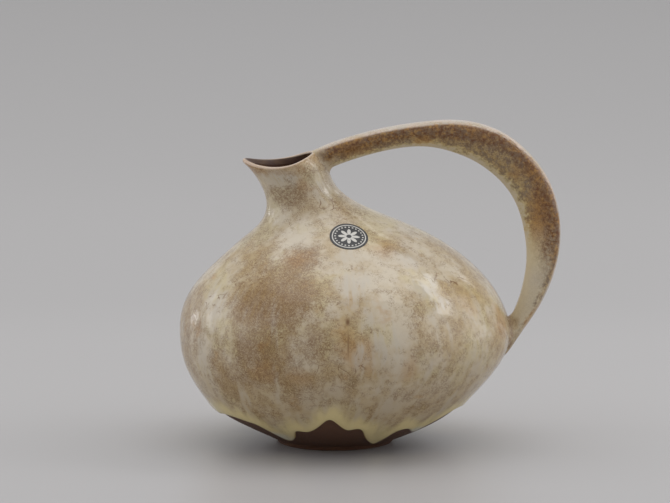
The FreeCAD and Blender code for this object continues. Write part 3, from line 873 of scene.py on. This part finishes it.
def handle_glaze_material():
    """Rust band and grey tan middle along the handle, cream on its inner edge, and a pale pink crown that
    is partly a painted highlight.
    """
    material, work, shader, place = new_material("Handle Glaze")
    flow = work.attribute("flow", "Vector")
    deep = work.attribute("deep")
    along = work.attribute("along")
    joint = work.attribute("joint")
    glaze = body_glaze(work, place, flow)
    mottle = work.noise(place, 420.0, 5.0, 0.75)
    uneven = work.remap(work.noise(place, 110.0, 3.0, 0.6), 0.3, 0.7, -0.07, 0.07)
    ragged = work.plus(work.remap(mottle, 0.3, 0.7, -0.09, 0.09), uneven)
    level = work.plus(deep, ragged)

    middle = work.blend(work.remap(mottle, 0.42, 0.62), colour("ash"), colour("sand"))
    warm = work.remap(work.noise(place, 60.0, 3.0), 0.5, 0.66, 0.0, 0.6)
    middle = work.blend(warm, middle, colour("ochre"))
    orange = work.patch(finishes().soft_patch, place, ragged, *ORANGE_PATCH)
    orange = work.times(orange, work.remap(mottle, 0.40, 0.6, 0.5, 0.95))
    middle = work.blend(orange, middle, colour("ochre"))
    surface = work.blend(work.remap(level, 0.74, 0.94, 0.0, 0.6), middle, colour("edge_cream"))
    surface = work.blend(work.remap(level, 0.82, 0.98, 0.0, 0.7), surface, colour("milk"))
    tail = work.times(work.remap(along, 0.62, 0.76), work.remap(level, 0.05, 0.30, 0.0, 0.92))
    surface = work.blend(tail, surface, colour("cream"))
    greenish = work.remap(work.noise(flow, 70.0, 3.0), 0.42, 0.60, 0.05, 0.5)
    surface = work.blend(work.times(tail, greenish), surface, colour("edge_cream"))

    fade = work.remap(along, 0.80, 0.67)
    reach = work.plus(work.remap(along, 0.28, 0.44, 0.78, 0.50), work.remap(along, 0.52, 0.62, 0.0, 0.16))
    rust = work.times(work.remap(level, reach, work.minus(reach, 0.30)), fade)
    grains = work.remap(work.noise(place, 700.0, 3.0, 0.7), 0.36, 0.62, 1.0, 0.35)
    surface = work.blend(work.times(rust, grains), surface, colour("rust"))
    specks = work.speckle(finishes().fibre, place, 800.0, 0.9)
    tinted = work.times(specks, work.remap(level, 0.9, 0.6, 0.0, 0.6))
    tinted = work.times(tinted, work.remap(along, 0.64, 0.76, 1.0, 0.22))
    surface = work.blend(tinted, surface, colour("fibre"))
    light = work.times(work.times(rust, work.remap(mottle, 0.50, 0.64)), 0.60)
    surface = work.blend(light, surface, colour("ochre"))
    # The crown along the handle's top: thin pink and milky glaze with sand and freckles, kept pale as a
    # painted highlight line.
    limit = work.remap(along, 0.20, 0.45, 0.15, 0.07)
    crown = work.remap(work.plus(deep, work.times(ragged, 0.18)), limit, 0.012)
    veil_and_highlight = work.remap(work.noise(place, 130.0, 4.0, 0.65), 0.40, 0.62)
    veil_and_highlight = work.blend(veil_and_highlight, colour("lip_pink_and_crown_highlight"), colour("milk"))
    sandy = work.remap(work.noise(place, 60.0, 4.0, 0.7), 0.50, 0.70, 0.0, 0.55)
    veil_and_highlight = work.blend(sandy, veil_and_highlight, colour("sand"))
    freckles = work.speckle(finishes().fibre, place, 620.0, 0.72)
    veil_and_highlight = work.blend(work.times(freckles, 0.45), veil_and_highlight, colour("tan"))
    surface = work.blend(work.times(crown, 0.95), surface, veil_and_highlight)

    near = work.plus(joint, work.remap(work.noise(place, 140.0, 3.0), 0.3, 0.7, -3.0, 3.0))
    surface = work.blend(work.remap(near, 7.0, 0.5), surface, glaze["Colour"])
    crease = work.times(work.remap(joint, 2.2, 0.4), work.remap(along, 0.85, 0.9))
    pooled = work.times(crease, work.remap(mottle, 0.42, 0.55, 0.1, 0.5))
    surface = work.blend(pooled, surface, colour("rust"))
    skin = work.group(finishes().skin, {"Place": place, "Marks": work.times(specks, 0.6)})
    finish_surface(work, shader, surface, skin["Roughness"], skin["Height"], GLAZE_RELIEF)
    return material


def label_material():
    """Dark foil with a pale ring, a ring of dots and an eight-petalled rosette."""
    material, work, shader, place = new_material("Label Foil")
    spot = work.add("ShaderNodeUVMap", uv_map="label").outputs["UV"]
    centred = work.vector("SUBTRACT", spot, (0.5, 0.5, 0.0))
    parts = work.add("ShaderNodeSeparateXYZ", {0: work.scaled(centred, 2.0)}).outputs
    radius = work.vector("LENGTH", work.scaled(centred, 2.0))
    angle = work.calc("ARCTAN2", parts["Y"], parts["X"])
    petals = work.calc("ABSOLUTE", work.calc("COSINE", work.times(angle, 4.0)))
    petal_reach = work.plus(0.16, work.times(petals, 0.40))
    rosette = work.remap(work.minus(petal_reach, radius), -0.02, 0.02)
    eye = work.remap(radius, 0.15, 0.12)
    rosette = work.minus(rosette, eye)
    ring = work.remap(work.calc("ABSOLUTE", work.minus(radius, 0.86)), 0.035, 0.02)
    beads = work.calc("COSINE", work.times(angle, 24.0))
    off_ring = work.calc("ABSOLUTE", work.minus(radius, 0.72))
    dots = work.times(work.remap(beads, 0.1, 0.4), work.remap(off_ring, 0.05, 0.03))
    pattern = work.larger(rosette, work.larger(ring, dots))
    worn = work.remap(work.noise(place, 900.0, 4.0, 0.7), 0.25, 0.42)
    surface = work.blend(work.times(pattern, worn), colour("label_dark"), colour("label_pale"))
    creases = work.noise(place, 500.0, 2.0)
    finish_surface(work, shader, surface, 0.42, creases, FAINT_RELIEF)
    return material


# The body's pieces.

# Rows of the glaze next to its lower edge and next to the rim, as distances in millimetres.
EDGE_ROWS = [0.0, 0.1, 0.25, 0.45, 0.7, 1.0, 1.35, 1.8, 2.4, 3.2, 4.2, 5.5]
RIM_ROWS = [5.2, 3.8, 2.8, 2.0]
MIDDLE_ROWS = 84
LIP_STEPS = 10
INSIDE_ROWS = [1.7, 2.4, 3.2, 4.2]
# Rows of the hidden side as shares of the way down to the lower edge, and how far above the
# edge the last one is.
HIDDEN_SHARES = np.linspace(0.98, 0.03, 40)
HIDDEN_END = 0.5 * MM
# The gap stored, in millimetres, where the edge or the rim is too far to matter.
FAR_GAP = 99.0
# Where the glaze turns back inside the lip: rows as distances below the rim in millimetres, and
# the depth of the first row.
TURN_BACK = (3.4, 1.6, 3.6)
TURN_DEPTH = 1.3 * MM
# How far skins reach into their neighbours, so that no gap shows between them.
SINK = 0.25 * MM
GLAZE_BITE = 0.15 * MM
# The thrown surface's bumps die out over this distance from the glaze's lower edge.
CALM_EDGE = 4 * MM
# The lower edge swells by these factors at these heights, and the swelling fades over a distance.
SWELL_HEIGHTS = (5 * MM, 20 * MM)
SWELL_FACTORS = (1.9, 0.8)
SWELL_FADE = 3.5 * MM
# The lining: its rows, how far up the side it starts, how far below the rim its seen side and
# its end are, and how far the middle of the floor is raised.
LINING_ROWS = 60
LINING_START = 5.5 * MM
LINING_TOP = 4.6 * MM
LINING_END = 3.0 * MM
FLOOR_RISE = 0.4 * MM
# The clay: rows of its outer and inner side, its top below the rim, and the share of the way up
# at which the inside ends in the floor.
CLAY_ROWS = (90, 40)
CLAY_TOP = 1.5 * MM
CLAY_FLOOR_SHARE = 0.045


def edge_tree(turns):
    """The glaze's lower edge as points, for finding the distance to it."""
    dense = column_turns(len(turns) * 6)
    points = form_points(edge_places(dense), dense)
    tree = KDTree(len(points))
    for number, point in enumerate(points):
        tree.insert(point, number)
    tree.balance()
    return tree


def rolled_edge(gaps, heights):
    """How far the glaze stands off the form at distances from its lower edge."""
    roll = sizes().edge_roll
    swell = sizes().edge_swell * np.interp(heights, SWELL_HEIGHTS, SWELL_FACTORS)
    near = np.clip(gaps / roll, 0, 1)
    rise = (sizes().glaze_thickness + swell) * np.sqrt(np.clip(1 - (1 - near) ** 2, 0, 1))
    fade = swell * np.exp(-(np.clip(gaps - roll, 0, None) / SWELL_FADE) ** 2)
    return np.where(gaps < roll, rise - sizes().glaze_thickness, fade)


def outer_glaze_mesh():
    """The glaze from its rolled lower edge up over the lip, and the hidden side back down."""
    turns = column_turns(BODY_COLUMNS)
    edges = edge_places(turns)
    rims = rim_places(turns)
    tree = edge_tree(turns)
    rows = []
    stored = {"edge_gap": [], "rim_gap": [], "inside": []}
    flow = []

    def add_row(points, places, edge_gap, rim_gap, inside):
        rows.append(points)
        for values, value in zip(stored.values(), (edge_gap, rim_gap, inside)):
            values.append(np.broadcast_to(value, turns.shape))
        flow.append(flow_at(turns, places))

    up_rows = [edges + gap * MM for gap in EDGE_ROWS]
    low = up_rows[-1]
    high = rims - RIM_ROWS[0] * MM
    up_rows += [low + (high - low) * n / MIDDLE_ROWS for n in range(1, MIDDLE_ROWS)]
    up_rows += [rims - gap * MM for gap in RIM_ROWS]
    for places in up_rows:
        points = form_points(places, turns)
        gaps = np.array([tree.find(point)[2] for point in points])
        gaps[places <= edges] = 0
        lift = rolled_edge(gaps, points[:, 2]) + wander(points) * np.clip(gaps / CALM_EDGE, 0, 1)
        points = points + form_normals(places, turns) * lift[:, None]
        add_row(points, places, gaps / MM, (rims - places) / MM, 0.0)

    half_lip = sizes().rim_thickness / 2
    middle = rims - half_lip
    normals = form_normals(middle, turns)
    upward = unit(climb(middle, turns))
    points = form_points(middle, turns)
    bumps = normals * wander(points)[:, None]
    centres = points - normals * half_lip
    for step in range(LIP_STEPS + 1):
        angle = math.pi * step / LIP_STEPS
        lift = normals * math.cos(angle) + upward * math.sin(angle)
        rim_gap = half_lip * (1 - math.sin(angle)) / MM
        inside = max(0.0, step / LIP_STEPS - 0.5) * 1.2
        add_row(centres + lift * half_lip + bumps, middle, FAR_GAP, rim_gap, inside)
    for gap in INSIDE_ROWS:
        places = rims - gap * MM
        depth = wall_at(places, rims) - (SINK if gap == INSIDE_ROWS[-1] else 0)
        add_row(form_inset(places, turns, depth), places, FAR_GAP, FAR_GAP, 1.0)

    hidden = sizes().glaze_thickness + GLAZE_BITE
    back = [rims - gap * MM for gap in TURN_BACK]
    back += [edges + (back[-1] - edges) * share for share in HIDDEN_SHARES]
    back += [edges + HIDDEN_END]
    for places in back:
        depth = TURN_DEPTH if places is back[0] else hidden
        add_row(form_inset(places, turns, depth), places, FAR_GAP, FAR_GAP, 1.0)

    mesh = mesh_from_rows("outer_glaze_coat", rows)
    for name, values in stored.items():
        store(mesh, name, np.concatenate(values))
    store(mesh, "flow", np.concatenate(flow), "FLOAT_VECTOR")
    face_outwards(mesh)
    return mesh


def inner_glaze_mesh():
    """A thin dark lining from the floor up to just below the lip."""
    turns = column_turns(CLAY_COLUMNS)
    rims = rim_places(turns)
    liner = sizes().liner_thickness
    start = np.full(len(turns), LINING_START)
    top = rims - LINING_TOP
    seen = [start + (top - start) * n / LINING_ROWS for n in range(LINING_ROWS + 1)]
    rows = [form_inset(places, turns, wall_at(places, rims)) for places in seen]
    end = rims - LINING_END
    rows += [form_inset(end, turns, wall_at(end, rims) - depth) for depth in (SINK, 2 * SINK)]
    rows += [form_inset(places, turns, wall_at(places, rims) - liner) for places in reversed(seen)]
    floor = rows[0][:, 2].mean() + FLOOR_RISE
    mesh = mesh_from_rows("inner_glaze_coat", rows, [(0, 0, floor), (0, 0, floor - liner)])
    face_outwards(mesh)
    return mesh


def clay_mesh():
    """The clay body: a foot ring round a shallow recess, the outer side, the lip and the inside."""
    turns = column_turns(CLAY_COLUMNS)
    rims = rim_places(turns)
    foot = sizes().foot_radius
    inner = foot - sizes().foot_ring
    recess = sizes().foot_recess
    profile = [
        (inner * 0.4, recess * 1.05), (inner * 0.8, recess), (inner - 0.8 * MM, recess * 0.92),
        (inner - 0.1 * MM, recess * 0.55), (inner + 0.5 * MM, 0.12 * MM), (inner + 1.1 * MM, 0),
        (foot - 1.1 * MM, 0), (foot - 0.4 * MM, 0.1 * MM), (foot, 0.5 * MM),
    ]
    rows = [
        np.stack([reach * np.cos(turns), reach * np.sin(turns), np.full(len(turns), height)], axis=-1)
        for reach, height in profile
    ]
    top = rims - CLAY_TOP
    outer_rows, inner_rows = CLAY_ROWS
    for share in np.linspace(0, 1, outer_rows):
        rows.append(form_inset(top * share, turns, sizes().glaze_thickness))
    for share in np.linspace(1, CLAY_FLOOR_SHARE, inner_rows):
        depth = wall_at(top * share, rims) - sizes().liner_thickness
        rows.append(form_inset(top * share, turns, depth))
    floor = rows[-1][:, 2].mean()
    mesh = mesh_from_rows("clay_wall", rows, [(0, 0, recess * 1.1), (0, 0, floor)])
    face_outwards(mesh)
    return mesh


# The handle.

HANDLE_ROWS = 240
SECTION_POINTS = 56
# A power that squares the section's sides: 1 leaves them round.
SQUARENESS = 0.55
# A short step for reading the direction of the handle's line.
LINE_STEP = 0.3 * MM
# The crown of a plain section as a share of its thickness, and the crowns as shares of the width
# between which the section turns from a wedge into a lens.
FLAT_CROWN_SHARE = 0.15
LENS_CROWN_SHARES = (0.15, 0.30)
# The root starts inside the lip and flares to its full width over a short way.
ROOT_START = 2.8 * MM
ROOT_FLARE = 9.0 * MM
# Shares of the section's depth between which the fillets' swelling sets in.
FILLET_DEPTHS = (0.10, 0.40)
# Rows of the body's surface for finding distances to it.
SURFACE_ROWS = 120


def handle_stations():
    """The handle's outer line with thickness, width and crown, as a smooth line and its length."""
    rows = []
    spans = [
        (HANDLE_RISE_SHARES, HANDLE_ROOT, HANDLE_CREST),
        (HANDLE_TURN_SHARES, HANDLE_CREST, HANDLE_SIDE),
        (HANDLE_FALL_SHARES, HANDLE_SIDE, HANDLE_END),
    ]
    for table, start, end in spans:
        for across, rise, thick_share, wide_share, crown_share in table:
            width = sizes().handle_width * wide_share
            thickness = sizes().handle_thickness * thick_share
            bulge = max(0.0, width * crown_share - FLAT_CROWN_SHARE * thickness)
            x, z = spread(start[0], end[0], across), spread(start[1], end[1], rise)
            rows.append((x, z, thickness, width, bulge, crown_share))
    rows = np.array(rows)
    knots = distances_along(rows[:, 0], rows[:, 1])
    return SmoothLine(knots, rows), knots[-1]


def handle_line_mesh():
    """The handle's outer line as edges that carry what the sweep reads."""
    line, length = handle_stations()
    places = np.linspace(ROOT_START, length, HANDLE_ROWS)
    x, z, thickness, width, bulge, crown_share = line.at(places).T
    width = width * (0.5 + 0.5 * smooth_step(places, ROOT_START, ROOT_START + ROOT_FLARE))
    lens = smooth_step(crown_share, *LENS_CROWN_SHARES)
    ahead = line.at(places + LINE_STEP) - line.at(places - LINE_STEP)
    forward = unit(ahead[:, :2])
    points = np.stack([x, np.zeros_like(x), z], axis=-1)
    inward = np.stack([forward[:, 1], np.zeros_like(x), -forward[:, 0]], axis=-1)
    mesh = bpy.data.meshes.new("handle_line")
    mesh.from_pydata(points.tolist(), [(n, n + 1) for n in range(HANDLE_ROWS - 1)], [])
    store(mesh, "place", points, "FLOAT_VECTOR")
    store(mesh, "inward", inward, "FLOAT_VECTOR")
    values = {"thickness": thickness, "width": width, "bulge": bulge, "lens": lens}
    values["along"] = places / length
    for name, value in values.items():
        store(mesh, name, value)
    return mesh


def handle_sweep_tree():
    """Geometry nodes that carry a rounded wedge along the handle's line."""
    inputs = [("Line", "Geometry"), ("Material", "Material")]
    inputs += [("Section Points", "Int"), ("Squareness", "Float")]
    outputs = [("Handle", "Geometry")]
    tree, work, start, end = new_tree("Handle Sweep", "GeometryNodeTree", inputs, outputs)
    count = start["Section Points"]
    inputs = {"Resolution": count, "Radius": 5 * MM}
    section = work.add("GeometryNodeCurvePrimitiveCircle", inputs).outputs["Curve"]
    index = work.add("GeometryNodeInputIndex").outputs["Index"]
    angle = work.times(work.calc("DIVIDE", index, count), 2 * math.pi)

    def rounded(wave, power):
        size = work.calc("POWER", work.calc("ABSOLUTE", wave), power)
        return work.times(work.calc("SIGN", wave), size)

    depth_wave = rounded(work.calc("COSINE", angle), 0.8)
    deep = work.minus(0.5, work.times(depth_wave, 0.5))
    across = rounded(work.calc("SINE", angle), start["Squareness"])
    for name, value in (("deep", deep), ("across", across)):
        inputs = {"Geometry": section, "Name": name, "Value": value}
        named_value = work.add("GeometryNodeStoreNamedAttribute", inputs, data_type="FLOAT")
        section = named_value.outputs["Geometry"]

    path = work.add("GeometryNodeMeshToCurve", {"Mesh": start["Line"]}).outputs["Curve"]
    inputs = {"Curve": path, "Profile Curve": section, "Fill Caps": True}
    swept = work.add("GeometryNodeCurveToMesh", inputs).outputs["Mesh"]

    def named(name, kind="FLOAT"):
        node = work.add("GeometryNodeInputNamedAttribute", {"Name": name}, data_type=kind)
        return node.outputs["Attribute"]

    far = named("deep")
    square = work.calc("POWER", far, 2.0)
    narrow = work.plus(work.times(far, 0.55), work.times(square, 0.3))
    fuller = work.minus(1.0, work.times(named("lens"), 0.55))
    taper = work.minus(1.13, work.times(narrow, fuller))
    side = work.times(named("across"), taper)
    outer = work.calc("POWER", work.minus(1.0, far), 2.0)
    rounding = work.times(work.calc("POWER", side, 2.0), outer)
    crowned = work.times(rounding, named("bulge"))
    sunk = work.plus(work.times(far, named("thickness")), crowned)
    reach = work.times(work.times(side, named("width")), 0.5)
    sideways = work.add("ShaderNodeCombineXYZ", {"Y": reach}).outputs[0]
    inward = work.scaled(named("inward", "FLOAT_VECTOR"), sunk)
    point = work.vector("ADD", work.vector("ADD", named("place", "FLOAT_VECTOR"), sideways), inward)
    inputs = {"Geometry": swept, "Position": point}
    shaped = work.add("GeometryNodeSetPosition", inputs).outputs["Geometry"]
    smooth = work.add("GeometryNodeSetShadeSmooth", {"Geometry": shaped}).outputs["Geometry"]
    real = work.add("GeometryNodeRealizeInstances", {"Geometry": smooth}).outputs["Geometry"]
    inputs = {"Geometry": real, "Material": start["Material"]}
    work.feed(end["Handle"], work.add("GeometryNodeSetMaterial", inputs).outputs["Geometry"])
    return tree


def plain_mesh(source, tree, values):
    """What a tree makes of a mesh, as a plain mesh."""
    carrier = bpy.data.objects.new(source.name, source)
    bpy.context.scene.collection.objects.link(carrier)
    modifier = carrier.modifiers.new("Sweep", "NODES")
    modifier.node_group = tree
    for socket in tree.interface.items_tree:
        if socket.name in values:
            modifier[socket.identifier] = values[socket.name]
    view = bpy.context.evaluated_depsgraph_get()
    mesh = bpy.data.meshes.new_from_object(carrier.evaluated_get(view))
    carrier.modifiers.remove(modifier)
    bpy.data.objects.remove(carrier)
    bpy.data.meshes.remove(source)
    return mesh


def values_of(mesh, name, size=1):
    """A mesh's point values as an array."""
    found = np.zeros(len(mesh.vertices) * size, np.float32)
    mesh.attributes[name].data.foreach_get("vector" if size == 3 else "value", found)
    return found.reshape(-1, size) if size > 1 else found


def smooth_step(value, low, high):
    share = np.clip((value - low) / (high - low), 0, 1)
    return share * share * (3 - 2 * share)


def body_surface():
    """The outer form up to the rim, for finding distances to it."""
    turns = column_turns(CLAY_COLUMNS)
    rims = rim_places(turns)
    rows = [form_points(rims * share, turns) for share in np.linspace(0, 1, SURFACE_ROWS)]
    return BVHTree.FromPolygons([tuple(p) for row in rows for p in row], quads_between(rows))


def distance_out(surface, point):
    """Distance from the body's outer surface, below zero within it."""
    place, normal, number, distance = surface.find_nearest(point)
    if (point - place).dot(normal) < 0:
        return -distance
    return distance


def fillet_handle(mesh):
    """Swell the handle's sides and inner face where it meets the body, and keep the distance."""
    surface = body_surface()
    along = values_of(mesh, "along")
    deep = values_of(mesh, "deep")
    normals = [vertex.normal.copy() for vertex in mesh.vertices]
    joint = []
    for number, vertex in enumerate(mesh.vertices):
        distance = distance_out(surface, vertex.co)
        radius = sizes().upper_fillet if along[number] < 0.5 else sizes().lower_fillet
        near = max(0.0, min(distance, radius))
        push = radius - math.sqrt(radius ** 2 - (radius - near) ** 2)
        share = float(smooth_step(deep[number], *FILLET_DEPTHS))
        vertex.co += normals[number] * push * share
        joint.append(max(distance, 0.0) / MM)
    store(mesh, "joint", joint)
    mesh.update()


def swept_handle(name, material):
    """The bare sweep of the handle as a plain mesh."""
    values = {"Section Points": SECTION_POINTS, "Squareness": SQUARENESS, "Material": material}
    mesh = plain_mesh(handle_line_mesh(), handle_sweep_tree(), values)
    mesh.name = name
    face_outwards(mesh)
    return mesh


def handle_clay_mesh(material):
    """The handle's clay under its glaze."""
    mesh = swept_handle("handle_core", material)
    normals = [vertex.normal.copy() for vertex in mesh.vertices]
    for vertex, normal in zip(mesh.vertices, normals):
        vertex.co -= normal * sizes().glaze_thickness
    mesh.update()
    return mesh


def handle_glaze_mesh(material):
    """The glazed handle with its fillets."""
    mesh = swept_handle("handle_glaze_coat", material)
    fillet_handle(mesh)
    points = np.array([vertex.co for vertex in mesh.vertices])
    turns = np.arctan2(points[:, 1], points[:, 0])
    store(mesh, "flow", flow_at(turns, points[:, 2]), "FLOAT_VECTOR")
    return mesh


# The label.

LABEL_RINGS = 12
LABEL_COLUMNS = 72


def label_mesh(glaze):
    """An oval foil laid on the glaze, with its own flat map."""
    points = [vertex.co.copy() for vertex in glaze.vertices]
    surface = BVHTree.FromPolygons(points, [tuple(face.vertices) for face in glaze.polygons])
    outward = LABEL_FACES.normalized()
    across = (Vector((1, 0, 0)) - outward * outward.x).normalized()
    upward = outward.cross(across)
    half_width = sizes().label_width / 2
    half_height = sizes().label_height / 2
    angles = column_turns(LABEL_COLUMNS)

    def laid(u, v, lift):
        start = LABEL_PLACE + across * u * half_width + upward * v * half_height + outward * 0.02
        place, normal, number, distance = surface.ray_cast(start, -outward)
        return place + normal * lift

    foil = sizes().label_thickness
    rows, spots = [], []
    edge = [(1.0, -0.05 * MM), (1.0, foil * 0.7), (0.992, foil)]
    inner = [((LABEL_RINGS - n) / LABEL_RINGS * 0.98, foil) for n in range(LABEL_RINGS)]
    for share, lift in edge + inner:
        rows.append([laid(share * math.cos(a), share * math.sin(a), lift) for a in angles])
        spots += [(share * math.cos(a), share * math.sin(a)) for a in angles]
    mesh = mesh_from_rows("label_foil", rows, [laid(0, 0, edge[0][1]), laid(0, 0, foil)])
    spots += [(0, 0), (0, 0)]
    layer = mesh.uv_layers.new(name="label")
    for loop in mesh.loops:
        u, v = spots[loop.vertex_index]
        layer.data[loop.index].uv = (0.5 + u / 2, 0.5 + v / 2)
    face_outwards(mesh)
    return mesh


# The stage.

CAMERA_PLACE = (0.0, -2.5556, 0.4783)
CAMERA_PITCH = math.radians(8.595)
CAMERA_LENS = 289.8
# Softboxes: name, directions from the vase of the two ends of the long axis, distance, width, power.
SOFTBOXES = [
    ("key_strip", (0.50, 0.31, 0.80), (0.85, -0.09, 0.53), 1.30, 0.27, 1.8),
    ("weak_strip", (0.555, 0.66, 0.505), (0.63, 0.645, 0.42), 1.50, 0.20, 0.12),
    ("left_strip", (-0.68, 0.54, 0.46), (-0.97, 0.22, 0.08), 1.50, 0.20, 0.50),
    ("edge_line", (-0.80, 0.585, 0.17), (-0.77, 0.63, -0.03), 1.50, 0.08, 0.45),
    ("left_panel", (-1.0, -0.70, 0.40), (-1.0, 0.45, 0.40), 1.80, 1.10, 5.0),
    ("right_panel", (1.0, -0.70, 0.40), (1.0, 0.45, 0.40), 1.80, 1.10, 5.5),
    ("overhead", (0.0, 0.75, 1.0), (0.0, -0.30, 1.0), 1.70, 1.70, 9.0),
]
# Height on the vase that the softboxes face.
AIM_HEIGHT = 0.07
WORLD_STRENGTH = 0.60
# Half the floor's width in metres.
FLOOR_REACH = 7.0
# Painted shading of the floor: its brightness at distances in metres behind the vase, as shares of its
# colour.
FLOOR_SHADES = [(-0.30, 0.82), (0.05, 0.84), (0.26, 0.815), (0.45, 0.775), (0.85, 0.80), (1.90, 0.88)]


def floor_material():
    """Pale satin floor with painted shading that darkens and lightens with the distance behind the vase.
    """
    material, work, shader, place = new_material("Floor")
    low, high = FLOOR_SHADES[0][0], FLOOR_SHADES[-1][0]
    inputs = {"Value": work.part(place, "Y"), "From Min": low, "From Max": high}
    back = work.add("ShaderNodeMapRange", inputs)
    shade = work.add("ShaderNodeValToRGB", {"Fac": back.outputs["Result"]})
    ramp = shade.color_ramp
    ramp.interpolation = "EASE"
    while len(ramp.elements) < len(FLOOR_SHADES):
        ramp.elements.new(0.5)
    floor = colour("floor_grey")
    for element, (distance, share) in zip(ramp.elements, FLOOR_SHADES):
        element.position = (distance - low) / (high - low)
        element.color = (floor[0] * share, floor[1] * share, floor[2] * share, 1)
    work.feed(shader.inputs["Base Color"], shade.outputs["Color"])
    shader.inputs["Roughness"].default_value = 0.4
    return material


def add_softbox(name, first_end, last_end, distance, width, power):
    """A rectangular lamp that faces the vase's belly, laid between two directions from it."""
    first = Vector(first_end).normalized() * distance
    last = Vector(last_end).normalized() * distance
    middle = (first + last) / 2
    outward = middle.normalized()
    lengthways = (last - first).normalized()
    light = bpy.data.lights.new(name, "AREA")
    light.shape = "RECTANGLE"
    light.size = width
    light.size_y = (last - first).length
    light.energy = power
    lamp = bpy.data.objects.new(name, light)
    bpy.context.scene.collection.objects.link(lamp)
    turn = Matrix((lengthways.cross(outward), lengthways, outward)).transposed().to_4x4()
    lamp.matrix_world = Matrix.Translation(middle + Vector((0, 0, AIM_HEIGHT))) @ turn


def add_camera():
    """The camera at the photograph's viewing angle."""
    data = bpy.data.cameras.new("camera")
    data.lens = CAMERA_LENS
    data.sensor_width = 36.0
    data.clip_end = 50.0
    camera = bpy.data.objects.new("camera", data)
    bpy.context.scene.collection.objects.link(camera)
    camera.location = CAMERA_PLACE
    camera.rotation_euler = (math.pi / 2 - CAMERA_PITCH, 0, 0)
    bpy.context.scene.camera = camera


def add_floor():
    """A wide flat floor that fills the view."""
    mesh = bpy.data.meshes.new("floor")
    signs = [(-1, -1), (1, -1), (1, 1), (-1, 1)]
    corners = [(FLOOR_REACH * x, FLOOR_REACH * y, 0) for x, y in signs]
    mesh.from_pydata(corners, [], [(0, 1, 2, 3)])
    mesh.materials.append(floor_material())
    floor = bpy.data.objects.new("floor", mesh)
    bpy.context.scene.collection.objects.link(floor)


# What the sidebar offers.

class VASE_OT_clay(bpy.types.Operator):
    """Make the clay body and the clay of the handle"""

    bl_idname = "vase.clay"
    bl_label = "Clay"

    def execute(self, context):
        clay = bare_clay_material("Bare Clay")
        place_piece("clay_wall", clay_mesh(), clay, ["clay_body"])
        place_piece("handle_core", handle_clay_mesh(clay), clay, ["handle"])
        return {"FINISHED"}


class VASE_OT_outer_glaze(bpy.types.Operator):
    """Make the outer glaze with its rolled, dripping lower edge"""

    bl_idname = "vase.outer_glaze"
    bl_label = "Outer Glaze"

    def execute(self, context):
        mesh = outer_glaze_mesh()
        place_piece("outer_glaze_coat", mesh, outer_glaze_material(), ["outer_glaze"])
        return {"FINISHED"}


class VASE_OT_inner_glaze(bpy.types.Operator):
    """Make the dark lining of the inside"""

    bl_idname = "vase.inner_glaze"
    bl_label = "Inner Glaze"

    def execute(self, context):
        mesh = inner_glaze_mesh()
        place_piece("inner_glaze_coat", mesh, inner_glaze_material(), ["inner_glaze"])
        return {"FINISHED"}


class VASE_OT_handle(bpy.types.Operator):
    """Sweep the glazed handle along its line and fillet it into the body"""

    bl_idname = "vase.handle"
    bl_label = "Handle Glaze"

    def execute(self, context):
        material = handle_glaze_material()
        mesh = handle_glaze_mesh(material)
        nodes = ["handle_glaze", "upper_joint", "lower_joint"]
        place_piece("handle_glaze_coat", mesh, material, nodes)
        return {"FINISHED"}


class VASE_OT_label(bpy.types.Operator):
    """Lay the small oval label on the shoulder"""

    bl_idname = "vase.label"
    bl_label = "Label"

    def execute(self, context):
        glaze = bpy.data.objects["outer_glaze_coat"].data
        place_piece("label_foil", label_mesh(glaze), label_material(), ["label"])
        return {"FINISHED"}


class VASE_OT_stage(bpy.types.Operator):
    """Set up the floor, the lamps and the camera"""

    bl_idname = "vase.stage"
    bl_label = "Stage"

    def execute(self, context):
        add_floor()
        for softbox in SOFTBOXES:
            add_softbox(*softbox)
        add_camera()
        world = bpy.data.worlds.new("Studio")
        world.use_nodes = True
        world.node_tree.nodes["Background"].inputs["Color"].default_value = (1, 1, 1, 1)
        world.node_tree.nodes["Background"].inputs["Strength"].default_value = WORLD_STRENGTH
        context.scene.world = world
        context.scene.view_settings.view_transform = "Standard"
        return {"FINISHED"}


class VASE_PT_panel(bpy.types.Panel):
    """Lists the vase's steps and settings"""

    bl_idname = "VASE_PT_panel"
    bl_label = "Handled Vase"
    bl_space_type = "VIEW_3D"
    bl_region_type = "UI"
    bl_category = "Vase"

    def draw(self, context):
        for step in OPERATORS:
            self.layout.operator(step.bl_idname)
        for settings in (context.scene.vase_sizes, context.scene.vase_colours):
            box = self.layout.box()
            for name in settings.__annotations__:
                box.prop(settings, name)


OPERATORS = [
    VASE_OT_clay, VASE_OT_outer_glaze, VASE_OT_inner_glaze, VASE_OT_handle, VASE_OT_label, VASE_OT_stage,
]
CLASSES = [VaseSizes, VaseColours, *OPERATORS, VASE_PT_panel]


def register():
    for kind in CLASSES:
        bpy.utils.register_class(kind)
    bpy.types.Scene.vase_sizes = PointerProperty(type=VaseSizes)
    bpy.types.Scene.vase_colours = PointerProperty(type=VaseColours)


def unregister():
    del bpy.types.Scene.vase_colours
    del bpy.types.Scene.vase_sizes
    for kind in reversed(CLASSES):
        bpy.utils.unregister_class(kind)


def main():
    register()
    bpy.ops.vase.clay()
    bpy.ops.vase.outer_glaze()
    bpy.ops.vase.inner_glaze()
    bpy.ops.vase.handle()
    bpy.ops.vase.label()
    bpy.ops.vase.stage()


if __name__ == "__main__":
    main()
